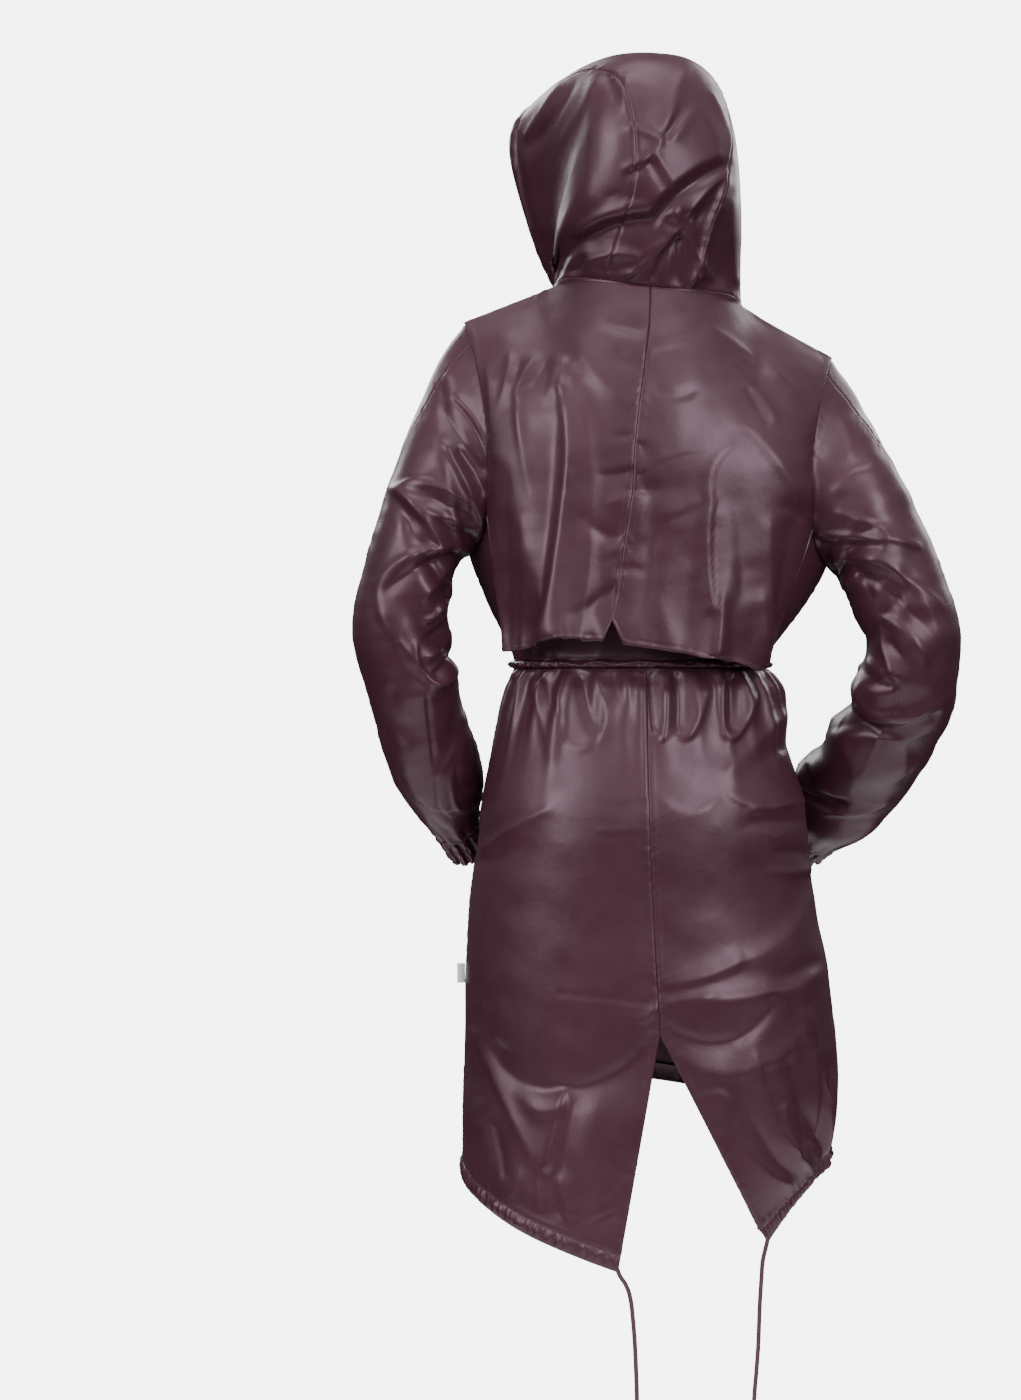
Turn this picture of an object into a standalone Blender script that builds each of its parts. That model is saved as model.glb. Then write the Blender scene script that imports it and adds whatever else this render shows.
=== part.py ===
"""A hooded fishtail parka of coated cloth, in the shape that it has when worn.

Each piece that a maker would cut and sew on is one wall of cloth: a grid of outer points worked out from
the tables below, the same grid moved inward by the cloth's thickness, and the rims between the two.

Metres, +Z up. The wearer faces -Y and stands with +X on the left hand. The origin is at the base of the
neck, between the shoulders that hold the coat up.
"""

import math

import bpy
import numpy as np

# ---------------------------------------------------------------- driving sizes

WALL = 0.0015            # thickness of one layer of cloth
SEAM = 0.0004            # open gap between two pieces that are sewn together
ARMHOLE_SEAM = 0.0012    # how far the sleeves stay short of the armholes
CAPE_SEAM = 0.0025       # how far the cape's edges stay short of the seams that hold them
LAYER = 0.0006           # open gap under a piece that lies on another
UNDERARM = -0.292        # height of the lowest point of the armholes
WAIST_TOP = -0.4040      # lower edge of the bodice
WAIST_LOW = -0.4130      # upper edge of the skirt
CHANNEL_BULGE = 0.0055   # how far the waist channel stands out over its cord
SHOULDER_ROLL = 0.1086   # rise of the left shoulder over the right one, per metre of width
CUFF_GATHERS = 12
CUFF_RUCHE = 0.0018      # half the depth of the cuff's gathers
CASING = 0.018           # width of the drawcord casing along the hem
CORD_DIAMETER = 0.005
SNAP_RADIUS = 0.0062
SNAP_HEIGHT = 0.0028
PLACKET_SHARE = 0.088    # half the placket's width, as a share of a front's width

BURGUNDY = (0.070, 0.020, 0.028, 1.0)
LABEL_WHITE = (0.80, 0.80, 0.80, 1.0)
SNAP_METAL = (0.055, 0.035, 0.040, 1.0)


class Table:
    """Rows of named columns. at() reads all but the first column on a smooth curve through the rows."""

    def __init__(self, columns, *rows):
        self.columns = columns.split()
        self.rows = np.array(rows, float)
        self.stations = self.rows[:, 0]
        self.slopes = np.gradient(self.rows[:, 1:], self.stations, axis=0)

    def at(self, where):
        where = np.clip(np.asarray(where, float), self.stations[0], self.stations[-1])
        low = np.clip(np.searchsorted(self.stations, where) - 1, 0, len(self.stations) - 2)
        span = (self.stations[low + 1] - self.stations[low])[..., None]
        t = (where - self.stations[low])[..., None] / span
        first, last = self.rows[low, 1:], self.rows[low + 1, 1:]
        value = (
            first * (1 + 2 * t) * (1 - t) ** 2
            + last * t * t * (3 - 2 * t)
            + self.slopes[low] * span * t * (1 - t) ** 2
            - self.slopes[low + 1] * span * t * t * (1 - t)
        )
        return np.moveaxis(value, -1, 0)


# ---------------------------------------------------------------- tables of the form

# Level sections of the body. left and right reach along X, back and front along Y; square 2 is an ellipse.
BODY = Table(
    "height left right back front square",
    (-1.100, 0.207, -0.150, 0.142, -0.140, 2.2),
    (-1.010, 0.208, -0.174, 0.146, -0.144, 2.2),
    (-0.960, 0.208, -0.197, 0.148, -0.146, 2.2),
    (-0.900, 0.208, -0.206, 0.150, -0.148, 2.2),
    (-0.800, 0.205, -0.206, 0.151, -0.147, 2.2),
    (-0.740, 0.204, -0.197, 0.150, -0.142, 2.2),
    (-0.660, 0.198, -0.183, 0.149, -0.135, 2.2),
    (-0.600, 0.188, -0.176, 0.147, -0.129, 2.2),
    (-0.550, 0.182, -0.167, 0.141, -0.125, 2.2),
    (-0.500, 0.174, -0.154, 0.130, -0.119, 2.2),
    (-0.460, 0.166, -0.150, 0.119, -0.112, 2.2),
    (-0.436, 0.159, -0.146, 0.111, -0.107, 2.2),
    (-0.410, 0.150, -0.132, 0.100, -0.100, 2.2),
    (-0.375, 0.163, -0.150, 0.104, -0.106, 2.2),
    (-0.350, 0.176, -0.168, 0.110, -0.112, 2.2),
    (-0.325, 0.187, -0.184, 0.117, -0.119, 2.2),
    (UNDERARM, 0.200, -0.200, 0.124, -0.126, 2.2),
    (-0.240, 0.199, -0.199, 0.132, -0.134, 2.3),
    (-0.200, 0.199, -0.199, 0.132, -0.134, 2.3),
)

# The centre lines of the upper back and the upper front, from the underarm level up to the neckline.
CENTRE_BACK = Table(
    "up y z",
    (0.00, 0.124, UNDERARM),
    (0.25, 0.131, -0.222),
    (0.50, 0.130, -0.150),
    (0.75, 0.112, -0.075),
    (1.00, 0.075, 0.006),
)
CENTRE_FRONT = Table(
    "up y z",
    (0.00, -0.126, UNDERARM),
    (0.25, -0.133, -0.232),
    (0.50, -0.128, -0.172),
    (0.75, -0.108, -0.113),
    (1.00, -0.085, -0.055),
)

# Each armhole edge is a Bezier curve of four points, from the underarm up to the shoulder's tip.
UNDERARM_POINT = (0.200, 0.000, UNDERARM)
SHOULDER_TIP = (0.206, -0.003, -0.046)
ARMHOLE_BACK = (UNDERARM_POINT, (0.151, 0.110, -0.270), (0.185, 0.078, -0.090), SHOULDER_TIP)
ARMHOLE_FRONT = (UNDERARM_POINT, (0.136, -0.110, -0.262), (0.166, -0.078, -0.090), SHOULDER_TIP)

NECK_SIDE = 0.4806       # where the shoulder seam meets the neckline, from the nape at 0 to the throat at 1
NECK_SHARE_BACK = 0.36   # share of the back's top edge that is neckline
NECK_SHARE_FRONT = 0.40

# The hood's ribs, from the neckline to the face opening. Each is an oval from its hinge at the throat to its
# crown, half is half its width, and egg narrows it towards the throat. turned is the head's turn to the left.
HOOD = Table(
    "rib hinge_y hinge_z crown_y crown_z half egg square rise turned shift roll",
    (0.0, -0.085, -0.055, 0.076, 0.0065, 0.1050, 0.00, 2.0, 0.024, 0.0, 0.000, 1.0),
    (1.0, -0.086, -0.036, 0.092, 0.048, 0.1050, 0.02, 2.0, 0.022, 6.0, 0.001, 0.9),
    (2.0, -0.089, -0.028, 0.113, 0.106, 0.1080, 0.06, 2.1, 0.018, 19.0, 0.006, 0.7),
    (3.0, -0.092, -0.021, 0.116, 0.167, 0.1100, 0.16, 2.2, 0.012, 28.0, 0.012, 0.4),
    (4.0, -0.095, -0.016, 0.100, 0.226, 0.1120, 0.28, 2.3, 0.006, 32.0, 0.014, 0.2),
    (5.0, -0.098, -0.012, 0.070, 0.261, 0.1120, 0.38, 2.4, 0.000, 33.0, 0.012, 0.0),
    (6.0, -0.100, -0.008, 0.028, 0.273, 0.1140, 0.46, 2.5, 0.000, 33.0, 0.010, 0.0),
    (7.0, -0.102, -0.005, -0.020, 0.269, 0.1170, 0.52, 2.7, 0.000, 33.0, 0.010, 0.0),
    (8.0, -0.104, -0.002, -0.070, 0.252, 0.1200, 0.57, 2.9, 0.000, 33.0, 0.010, 0.0),
    (9.0, -0.106, 0.000, -0.118, 0.228, 0.1220, 0.60, 3.0, 0.000, 33.0, 0.010, 0.0),
)
GUSSET = Table(
    "rib share",
    (0.0, 0.1602),
    (1.0, 0.150),
    (2.0, 0.150),
    (3.0, 0.175),
    (5.0, 0.200),
    (9.0, 0.200),
)

# Sections of the sleeves: their outer and inner outlines seen from behind, how far back their middle lies,
# and half their depth. along runs from the armhole to the sleeve's end.
SLEEVE_COLUMNS = "along out_x out_z in_x in_z middle_y deep"
SLEEVES = {
    "left": Table(
        SLEEVE_COLUMNS,
        (0.00, 0.206, -0.0236, 0.200, -0.2776, 0.000, 0.085),
        (0.07, 0.229, -0.057, 0.2070, -0.2815, 0.003, 0.082),
        (0.15, 0.252, -0.107, 0.2095, -0.2860, 0.009, 0.077),
        (0.24, 0.276, -0.168, 0.2130, -0.2945, 0.016, 0.071),
        (0.33, 0.298, -0.232, 0.2175, -0.3120, 0.022, 0.066),
        (0.42, 0.317, -0.298, 0.221, -0.3400, 0.028, 0.062),
        (0.50, 0.329, -0.355, 0.225, -0.3710, 0.030, 0.059),
        (0.56, 0.328, -0.392, 0.219, -0.3960, 0.026, 0.058),
        (0.64, 0.314, -0.441, 0.212, -0.4270, 0.012, 0.057),
        (0.72, 0.300, -0.493, 0.200, -0.4760, -0.008, 0.056),
        (0.80, 0.285, -0.540, 0.189, -0.5130, -0.030, 0.054),
        (0.87, 0.263, -0.575, 0.186, -0.5420, -0.052, 0.049),
        (0.935, 0.240, -0.6020, 0.190, -0.5800, -0.070, 0.036),
        (1.00, 0.222, -0.6300, 0.180, -0.6080, -0.088, 0.031),
    ),
    "right": Table(
        SLEEVE_COLUMNS,
        (0.00, -0.206, -0.0684, -0.200, -0.2895, 0.000, 0.085),
        (0.07, -0.227, -0.100, -0.2105, -0.2960, 0.002, 0.083),
        (0.15, -0.251, -0.142, -0.2125, -0.3040, 0.008, 0.078),
        (0.24, -0.277, -0.192, -0.2150, -0.3170, 0.016, 0.071),
        (0.33, -0.303, -0.248, -0.222, -0.3360, 0.022, 0.066),
        (0.42, -0.328, -0.308, -0.233, -0.3620, 0.028, 0.062),
        (0.50, -0.346, -0.371, -0.242, -0.3920, 0.028, 0.060),
        (0.56, -0.3450, -0.4290, -0.232, -0.4255, 0.018, 0.060),
        (0.63, -0.3405, -0.4648, -0.2245, -0.4502, -0.006, 0.061),
        (0.69, -0.3290, -0.4940, -0.2070, -0.4751, -0.030, 0.061),
        (0.745, -0.3150, -0.5225, -0.1985, -0.4985, -0.050, 0.060),
        (0.79, -0.2985, -0.5510, -0.1830, -0.5117, -0.070, 0.058),
        (0.84, -0.2790, -0.5765, -0.1725, -0.5270, -0.085, 0.054),
        (0.89, -0.2550, -0.5995, -0.1745, -0.5570, -0.100, 0.047),
        (0.935, -0.2272, -0.6120, -0.1790, -0.5850, -0.120, 0.036),
        (1.00, -0.2110, -0.6270, -0.1750, -0.6010, -0.150, 0.031),
    ),
}
ARMHOLE_FADE = 0.30      # share of the sleeve over which the armhole's shape fades into the tube's
CUFF_START = 0.935
# Where the sleeve's back seam lies, in degrees from the outer outline towards the back.
SLEEVE_SEAM = Table("along turn", (0.0, 22.5), (0.30, 14.0), (0.45, 8.0), (1.0, 10.0))

# The largest folds of the sleeves: ridges (+) and troughs (-) across the arm.
SLEEVE_FOLDS = {
    "left": Table(
        "along turn slant height width span",
        (0.20, 120.0, 0.0006, 0.0040, 0.030, 60.0),
        (0.38, 130.0, 0.0009, -0.0045, 0.024, 60.0),
        (0.47, 150.0, 0.0012, 0.0060, 0.030, 55.0),
        (0.545, 160.0, 0.0010, -0.0060, 0.022, 50.0),
        (0.60, 130.0, -0.0006, 0.0060, 0.030, 50.0),
        (0.69, 150.0, -0.0008, -0.0050, 0.026, 55.0),
        (0.78, 110.0, 0.0008, 0.0035, 0.030, 60.0),
    ),
    "right": Table(
        "along turn slant height width span",
        (0.24, 130.0, -0.0007, -0.0050, 0.024, 60.0),
        (0.31, 120.0, -0.0008, 0.0050, 0.028, 60.0),
        (0.44, 120.0, 0.0009, -0.0040, 0.024, 55.0),
        (0.55, 140.0, 0.0006, 0.0065, 0.030, 55.0),
        (0.62, 140.0, 0.0004, -0.0065, 0.022, 60.0),
        (0.71, 110.0, 0.0003, 0.0040, 0.030, 60.0),
        (0.86, 130.0, 0.0005, -0.0050, 0.026, 60.0),
    ),
}

# The storm cape's free part. across is 1 at the left edge, 0 at the seam and -1 at the right edge.
CAPE_LEAVES = 0.25       # how far up the armhole the cape's edge stops being sewn in
CAPE_HEM = Table(
    "across x y z",
    (-1.00, -0.1290, 0.074, -0.4085),
    (-0.90, -0.1240, 0.092, -0.4140),
    (-0.60, -0.0840, 0.124, -0.4060),
    (-0.30, -0.0220, 0.136, -0.3960),
    (-0.07, 0.0320, 0.137, -0.3880),
    (0.00, 0.0436, 0.136, -0.3860),
    (0.09, 0.0560, 0.137, -0.3850),
    (0.40, 0.0960, 0.137, -0.3830),
    (0.62, 0.1200, 0.124, -0.3850),
    (0.75, 0.1270, 0.100, -0.3900),
    (1.00, 0.1633, 0.068, -0.3950),
)
CAPE_SEAM_BEND = 0.062    # how far the centre seam swings to the left on its way down
NOTCH_HALF = 0.07        # half the notch's width, in the cape's own measure
NOTCH_HEIGHT = 0.024
CAPE_WAVES = Table(
    "across height width",
    (-0.92, 0.0035, 0.06),
    (-0.70, -0.0060, 0.09),
    (-0.48, 0.0070, 0.08),
    (-0.25, -0.0035, 0.09),
    (0.20, -0.0030, 0.08),
    (0.52, 0.0075, 0.10),
    (0.74, -0.0090, 0.07),
    (0.92, 0.0030, 0.08),
)

# The skirt. The back opens at its centre below the vent's top, and each side has its own edge there.
VENT_TOP = -0.8110
CENTRE_SEAM = Table("height x", (-0.811, -0.0080), (-0.72, -0.0030), (-0.60, 0.0028), (WAIST_LOW, 0.0045))
VENT_EDGE = {"left": (0.0373, -1.069), "right": (-0.1275, -1.0465)}
# Height of the hem, from the side seam (0) to the back's centre edge (1) or the front's (1).
HEM = {
    "back_left": Table(
        "across z", (0.0, -0.977), (0.3, -1.000), (0.6, -1.030), (0.85, -1.054), (1.0, -1.069)
    ),
    "back_right": Table(
        "across z", (0.0, -0.960), (0.25, -0.983), (0.5, -1.007), (0.75, -1.029), (1.0, -1.0465)
    ),
    "front_left": Table("across z", (0.0, -0.977), (0.35, -0.945), (0.7, -0.908), (1.0, -0.885)),
    "front_right": Table("across z", (0.0, -0.960), (0.35, -0.930), (0.7, -0.902), (1.0, -0.885)),
}
# Gathers under the waist channel: where they lie, how far they stand out and how far down they run.
GATHERS = {
    "back_left": Table(
        "across height width length",
        (0.06, 0.0035, 0.030, 0.060),
        (0.18, 0.0050, 0.034, 0.085),
        (0.33, 0.0060, 0.036, 0.120),
        (0.48, 0.0055, 0.034, 0.090),
        (0.62, 0.0065, 0.036, 0.130),
        (0.78, 0.0045, 0.032, 0.080),
        (0.92, 0.0055, 0.032, 0.100),
    ),
    "back_right": Table(
        "across height width length",
        (0.07, 0.0060, 0.036, 0.070),
        (0.20, 0.0045, 0.034, 0.095),
        (0.35, 0.0060, 0.036, 0.110),
        (0.50, 0.0045, 0.034, 0.080),
        (0.65, 0.0060, 0.034, 0.125),
        (0.80, 0.0050, 0.032, 0.090),
        (0.93, 0.0055, 0.032, 0.105),
    ),
    "front_left": Table(
        "across height width length",
        (0.12, 0.0045, 0.045, 0.080),
        (0.32, 0.0050, 0.050, 0.100),
        (0.52, 0.0045, 0.045, 0.085),
        (0.72, 0.0050, 0.045, 0.095),
    ),
    "front_right": Table(
        "across height width length",
        (0.10, 0.0050, 0.045, 0.090),
        (0.30, 0.0045, 0.050, 0.080),
        (0.50, 0.0055, 0.045, 0.100),
        (0.70, 0.0045, 0.045, 0.085),
    ),
}
# Folds that run from the drawn-up corner of the right hem: where they end, their height and their width.
DRAWN_CORNER = (0.16, -0.962)        # across and height of the corner that the cord bunches up
DRAWN_FOLDS = Table(
    "across z height width",
    (0.08, -0.800, 0.0050, 0.014),
    (0.22, -0.830, -0.0060, 0.012),
    (0.42, -0.820, 0.0080, 0.016),
    (0.60, -0.880, -0.0050, 0.015),
)
POCKET = {"across": (0.26, 0.66), "top": -0.560, "side_top": -0.630, "bottom": -0.745}

# The free ends of the hem's drawcords, each from the tip of its tail.
CORDS = {
    "left": (
        (0.0368, 0.1421, -1.0690),
        (0.0350, 0.1425, -1.0735),
        (0.0308, 0.1430, -1.0790),
        (0.0266, 0.1430, -1.0875),
        (0.0233, 0.1430, -1.1010),
        (0.0214, 0.1425, -1.1180),
        (0.0195, 0.1415, -1.1400),
        (0.0182, 0.1405, -1.1650),
        (0.0172, 0.1395, -1.1900),
        (0.0165, 0.1385, -1.2200),
        (0.0162, 0.1380, -1.2450),
    ),
    "right": (
        (-0.1266, 0.0908, -1.0470),
        (-0.1228, 0.0920, -1.0629),
        (-0.1212, 0.0935, -1.0827),
        (-0.1195, 0.0950, -1.1075),
        (-0.1185, 0.0950, -1.1325),
        (-0.1175, 0.0950, -1.1574),
        (-0.1157, 0.0950, -1.1823),
        (-0.1136, 0.0950, -1.2072),
        (-0.1119, 0.0950, -1.2321),
        (-0.1112, 0.0950, -1.2441),
    ),
}


# ---------------------------------------------------------------- the form


def ease(t):
    """0 to 1, starting and ending softly."""
    t = np.clip(t, 0.0, 1.0)
    return t * t * (3 - 2 * t)


def signed_power(value, power):
    return np.sign(value) * np.abs(value) ** power


def point(x, y, z):
    return np.stack(np.broadcast_arrays(x, y, z), axis=-1).astype(float)


def unit(vectors):
    return vectors / np.maximum(np.linalg.norm(vectors, axis=-1, keepdims=True), 1e-12)


def hump(distance, width):
    """A soft ridge's cross section, 1 at its crest."""
    return np.exp(-((distance / width) ** 2))


def posed(points, share=1.0):
    """Lifts the left shoulder and drops the right one, from nothing at the waist to all of it at the neck."""
    points = points.copy()
    lean = np.clip((points[..., 2] - WAIST_TOP) / -WAIST_TOP, 0, 1)
    points[..., 2] += SHOULDER_ROLL * share * lean * points[..., 0]
    return points


def ring(turn, height):
    """The body's section. turn is 0 at the wearer's left side, 90 at the back, 180 at the right side."""
    left, right, back, front, square = BODY.at(height)
    cosine = signed_power(np.cos(np.radians(turn)), 2 / square)
    sine = signed_power(np.sin(np.radians(turn)), 2 / square)
    x = (left + right) / 2 + (left - right) / 2 * cosine
    y = np.where(sine > 0, back, -front) * sine
    return point(x, y, height)


def turn_at(x, height, front=False):
    """The turn at which the body's section has this x, on its back or its front."""
    left, right, _, _, square = BODY.at(height)
    share = np.clip((x - (left + right) / 2) / ((left - right) / 2), -1, 1)
    turn = np.degrees(np.arccos(signed_power(share, square / 2)))
    return -turn if front else turn


def outward_of_ring(turn, height):
    """Level direction away from the body's axis."""
    step = 0.5
    along = ring(turn + step, height) - ring(turn - step, height)
    return unit(point(along[..., 1], -along[..., 0], 0))


def bezier(points, t):
    a, b, c, d = (np.array(p) for p in points)
    t = np.asarray(t, float)[..., None]
    return a * (1 - t) ** 3 + 3 * b * t * (1 - t) ** 2 + 3 * c * t * t * (1 - t) + d * t**3


def mirrored(points, side):
    """Turns a point of the wearer's left side into one of the side given, by its sign."""
    points = points.copy()
    points[..., 0] *= side
    return points


def hood_upright(share, rib):
    """The hood before the shoulders' roll, and how much of that roll it takes."""
    hinge_y, hinge_z, crown_y, crown_z, half, egg, square, rise, turned, shift, roll = HOOD.at(rib)
    cosine = signed_power(np.cos(np.pi * share), 2 / square)
    sine = signed_power(np.sin(np.pi * share), 2 / square)
    along = (1 + cosine) / 2
    x = half * sine * (1 - egg * (1 - along))
    y = hinge_y + along * (crown_y - hinge_y)
    z = hinge_z + along * (crown_z - hinge_z) + rise * sine**2
    angle = np.radians(turned)
    turned_x = x * np.cos(angle) - y * np.sin(angle) + shift
    turned_y = x * np.sin(angle) + y * np.cos(angle)
    return point(turned_x, turned_y, z), roll


def hood_surface(share, rib):
    """share runs round a rib, from 0 at the top or back to +1 and -1 at the throat; rib 0 is the neckline."""
    return posed(*hood_upright(share, rib))


def neckline(share):
    return hood_upright(share, np.zeros_like(share))[0]


def upper(across, up, centre, armhole, neck_share, neck_at):
    """The upper back or front before the pose: rows between the armholes, eased into shoulders and neck."""
    side = np.where(across < 0, -1.0, 1.0)
    size = np.abs(across)
    edge = bezier(armhole, up)
    middle_y, middle_z = centre.at(up)
    sine = np.sin(np.pi / 2 * size) ** (2 / 2.2)
    cosine = np.cos(np.pi / 2 * size) ** (2 / 2.2)
    row = point(
        edge[..., 0] * sine,
        edge[..., 1] + (middle_y - edge[..., 1]) * cosine,
        edge[..., 2] + (middle_z - edge[..., 2]) * cosine,
    )
    tip = np.array(armhole[3])
    nape_y, nape_z = centre.at(1.0)
    top_row = point(
        tip[0] * sine,
        tip[1] + (nape_y - tip[1]) * cosine,
        tip[2] + (nape_z - tip[2]) * cosine,
    )
    seam_start = neckline(np.array(NECK_SIDE))
    on_neck = neckline(neck_at(np.minimum(size / neck_share, 1)))
    past_neck = np.clip((size - neck_share) / (1 - neck_share), 0, 1)
    on_seam = seam_start + (tip - seam_start) * past_neck[..., None]
    top = np.where((size <= neck_share)[..., None], on_neck, on_seam)
    row = row + (top - top_row) * (up**3)[..., None]
    row[..., 0] *= side
    return row


def upper_back(across, up):
    return upper(across, up, CENTRE_BACK, ARMHOLE_BACK, NECK_SHARE_BACK, lambda t: NECK_SIDE * t)


def upper_front(across, up):
    return upper(across, up, CENTRE_FRONT, ARMHOLE_FRONT, NECK_SHARE_FRONT, lambda t: 1 - (1 - NECK_SIDE) * t)


def bodice_ruck(across, height):
    """Small gathers where the bodice is drawn in at the waist."""
    fade = ease(1 - (height - WAIST_TOP) / 0.045) * ease((np.abs(across) - 0.10) / 0.15)
    return 0.0020 * fade * np.cos(across * 2 * math.pi * 3.5)


def bodice(across, level, upper_part, middle_turn):
    """level runs from 0 at the waist to 1 at the underarm and on to 2 at the shoulders and neck."""
    height = WAIST_TOP + (UNDERARM - WAIST_TOP) * np.clip(level, 0, 1)
    turn = middle_turn - across * middle_turn
    low = ring(turn, height) + outward_of_ring(turn, height) * bodice_ruck(across, height)[..., None]
    high = upper_part(across, np.clip(level - 1, 0, 1))
    return posed(np.where((level <= 1)[..., None], low, high))


def back_surface(across, level):
    return bodice(across, level, upper_back, 90.0)


def front_surface(across, level):
    return bodice(across, level, upper_front, -90.0)


def armhole(side, turn):
    """The armhole's loop, posed. turn is 0 at the shoulder's tip, 90 at the back, 180 at the underarm."""
    turn = np.mod(turn, 360.0)
    on_back = turn <= 180.0
    up = np.where(on_back, 1 - turn / 180.0, turn / 180.0 - 1)
    loop = np.where(on_back[..., None], bezier(ARMHOLE_BACK, up), bezier(ARMHOLE_FRONT, up))
    return posed(mirrored(loop, 1 if side == "left" else -1))


def sleeve_tube(side, turn, along):
    """The sleeve as a plain tube. turn is 0 on its outer outline, 90 at the back, 180 on its inner one."""
    out_x, out_z, in_x, in_z, middle_y, deep = SLEEVES[side].at(along)
    centre = point((out_x + in_x) / 2, middle_y, (out_z + in_z) / 2)
    reach = point((out_x - in_x) / 2, 0, (out_z - in_z) / 2)
    step = 0.004
    ahead, behind = SLEEVES[side].at(along + step), SLEEVES[side].at(along - step)
    way = (ahead - behind) / 2
    way = unit(point((way[0] + way[2]) / 2, way[4], (way[1] + way[3]) / 2))
    fade = ease(along / ARMHOLE_FADE)[..., None]
    way = unit(way * fade + point(0, 0, -1) * (1 - fade))
    backward = np.array((0.0, 1.0, 0.0)) - way * way[..., 1:2]
    angle = np.radians(turn)[..., None]
    return centre + reach * np.cos(angle) + unit(backward) * deep[..., None] * np.sin(angle)


def fold_height(folds, turn, along):
    """The sum of the sleeve's folds: each runs across the arm on a slant and dies away at its ends."""
    total = np.zeros_like(along)
    for start, middle, slant, height, width, span in folds.rows:
        off = np.mod(turn - middle + 180, 360) - 180
        total += height * hump(along - start - slant * off, width) * hump(off, span)
    return total


def sleeve_centre(side, along):
    out_x, out_z, in_x, in_z, middle_y, _ = SLEEVES[side].at(along)
    return point((out_x + in_x) / 2, middle_y, (out_z + in_z) / 2)


def sleeve_surface(side, turn, along):
    """The sleeve's points and the directions in which they face."""
    tube = sleeve_tube(side, turn, along)
    head = armhole(side, turn) - sleeve_tube(side, turn, np.zeros_like(along))
    tube = tube + head * (1 - ease(along / ARMHOLE_FADE))[..., None]
    facing = unit(tube - sleeve_centre(side, along))
    calm = ease(along / 0.12) * ease((CUFF_START - along) / 0.08)
    height = fold_height(SLEEVE_FOLDS[side], turn, along) * calm
    return tube + facing * height[..., None], facing


def cuff_surface(side, turn, along):
    """The elastic cuff: the tube's end, ruched all round."""
    tube = sleeve_tube(side, turn, along)
    facing = unit(tube - sleeve_centre(side, along))
    ruche = CUFF_RUCHE * np.cos(np.radians(turn) * CUFF_GATHERS)
    return tube + facing * ruche[..., None], facing


def just_outside(points, margin):
    """Moves posed points back, softly, until they clear the body's sections."""
    lean = np.clip((points[..., 2] - WAIST_TOP) / -WAIST_TOP, 0, 1)
    upright_z = points[..., 2] - SHOULDER_ROLL * lean * points[..., 0]
    left, right, back, _, square = BODY.at(upright_z)
    share = np.clip(np.abs(points[..., 0] - (left + right) / 2) / ((left - right) / 2), 0, 1)
    body_y = back * (1 - share**square) ** (1 / square) + margin
    gap = points[..., 1] - body_y
    points = points.copy()
    points[..., 1] = body_y + (gap + np.sqrt(gap**2 + 0.003**2)) / 2
    return points


def cape_surface(across, level, lift):
    """level 0 is the hem, 1 is where the edges leave the armholes and 2 is the neck and shoulders."""
    up = CAPE_LEAVES + (1 - CAPE_LEAVES) * np.clip(level - 1, 0, 1)
    step = 0.01
    bent = across + CAPE_SEAM_BEND * ease(2 - level) * np.clip(1 - np.abs(across) / 0.2, 0, 1)
    on_back = posed(upper_back(bent, up))
    low, high = np.clip(bent - step, -1, 1), np.clip(bent + step, -1, 1)
    sideways = posed(upper_back(low, up)) - posed(upper_back(high, up))
    upward = posed(upper_back(bent, np.minimum(up + step, 1))) - posed(upper_back(bent, up - step))
    clear_of_bulge = 0.0020 * ease((1.4 - level) / 0.3)
    on_back = on_back + unit(np.cross(sideways, upward)) * (lift + clear_of_bulge)[..., None]
    fall = (1 - np.clip(level, 0, 1))[..., None]
    x, y, z = CAPE_HEM.at(across)
    z = z + NOTCH_HEIGHT * np.clip(1 - np.abs(across) / NOTCH_HALF, 0, 1)
    wave = np.zeros_like(across)
    for middle, height, width in CAPE_WAVES.rows:
        wave += height * hump(across - middle, width)
    hanging = on_back + (point(x, y, z) - on_back) * fall
    clear = just_outside(hanging, lift + 0.0028)
    clear[..., 1] += (wave + 0.002) * fall[..., 0] ** 1.3
    return np.where(fall > 0, clear, hanging)


def centre_turn(panel, height):
    """Turn of a skirt panel's centre edge at this height."""
    if panel.startswith("front"):
        return turn_at(np.zeros_like(height), height, front=True)
    seam = CENTRE_SEAM.at(np.maximum(height, VENT_TOP))[0]
    tip_x, tip_z = VENT_EDGE[panel.split("_")[1]]
    opened = np.clip((VENT_TOP - height) / (VENT_TOP - tip_z), 0, 1.2)
    return turn_at(seam + (tip_x - seam) * opened, height)


def side_turn(panel):
    return 0.0 if panel.endswith("left") else (180.0 if panel.startswith("back") else -180.0)


def skirt_folds(panel, across, height):
    """How far the cloth stands out: the waist's gathers and, on the right back, the drawn corner's folds."""
    total = np.zeros_like(height)
    below = np.maximum(WAIST_LOW - height, 0)
    for middle, rise, width, length in GATHERS[panel].rows:
        fall = hump(below - 0.012, length * 0.62) * ease(below / 0.012 + 0.35)
        total += rise * hump(across - middle, width) * fall
    if panel != "back_right":
        return total
    corner_across, corner_z = DRAWN_CORNER
    for end_across, end_z, rise, width in DRAWN_FOLDS.rows:
        run = np.array((end_across - corner_across, (end_z - corner_z) / 0.30))
        length = float(np.hypot(*run))
        run = run / length
        aside = (across - corner_across) * run[1] - (height - corner_z) / 0.30 * run[0]
        ahead = (across - corner_across) * run[0] + (height - corner_z) / 0.30 * run[1]
        reach = ease(ahead / 0.10 + 0.3) * ease((length - ahead) / (0.75 * length))
        total += rise * hump(aside, width * (2.2 + 4.0 * np.clip(ahead, 0, 1))) * reach
    return total


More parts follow.
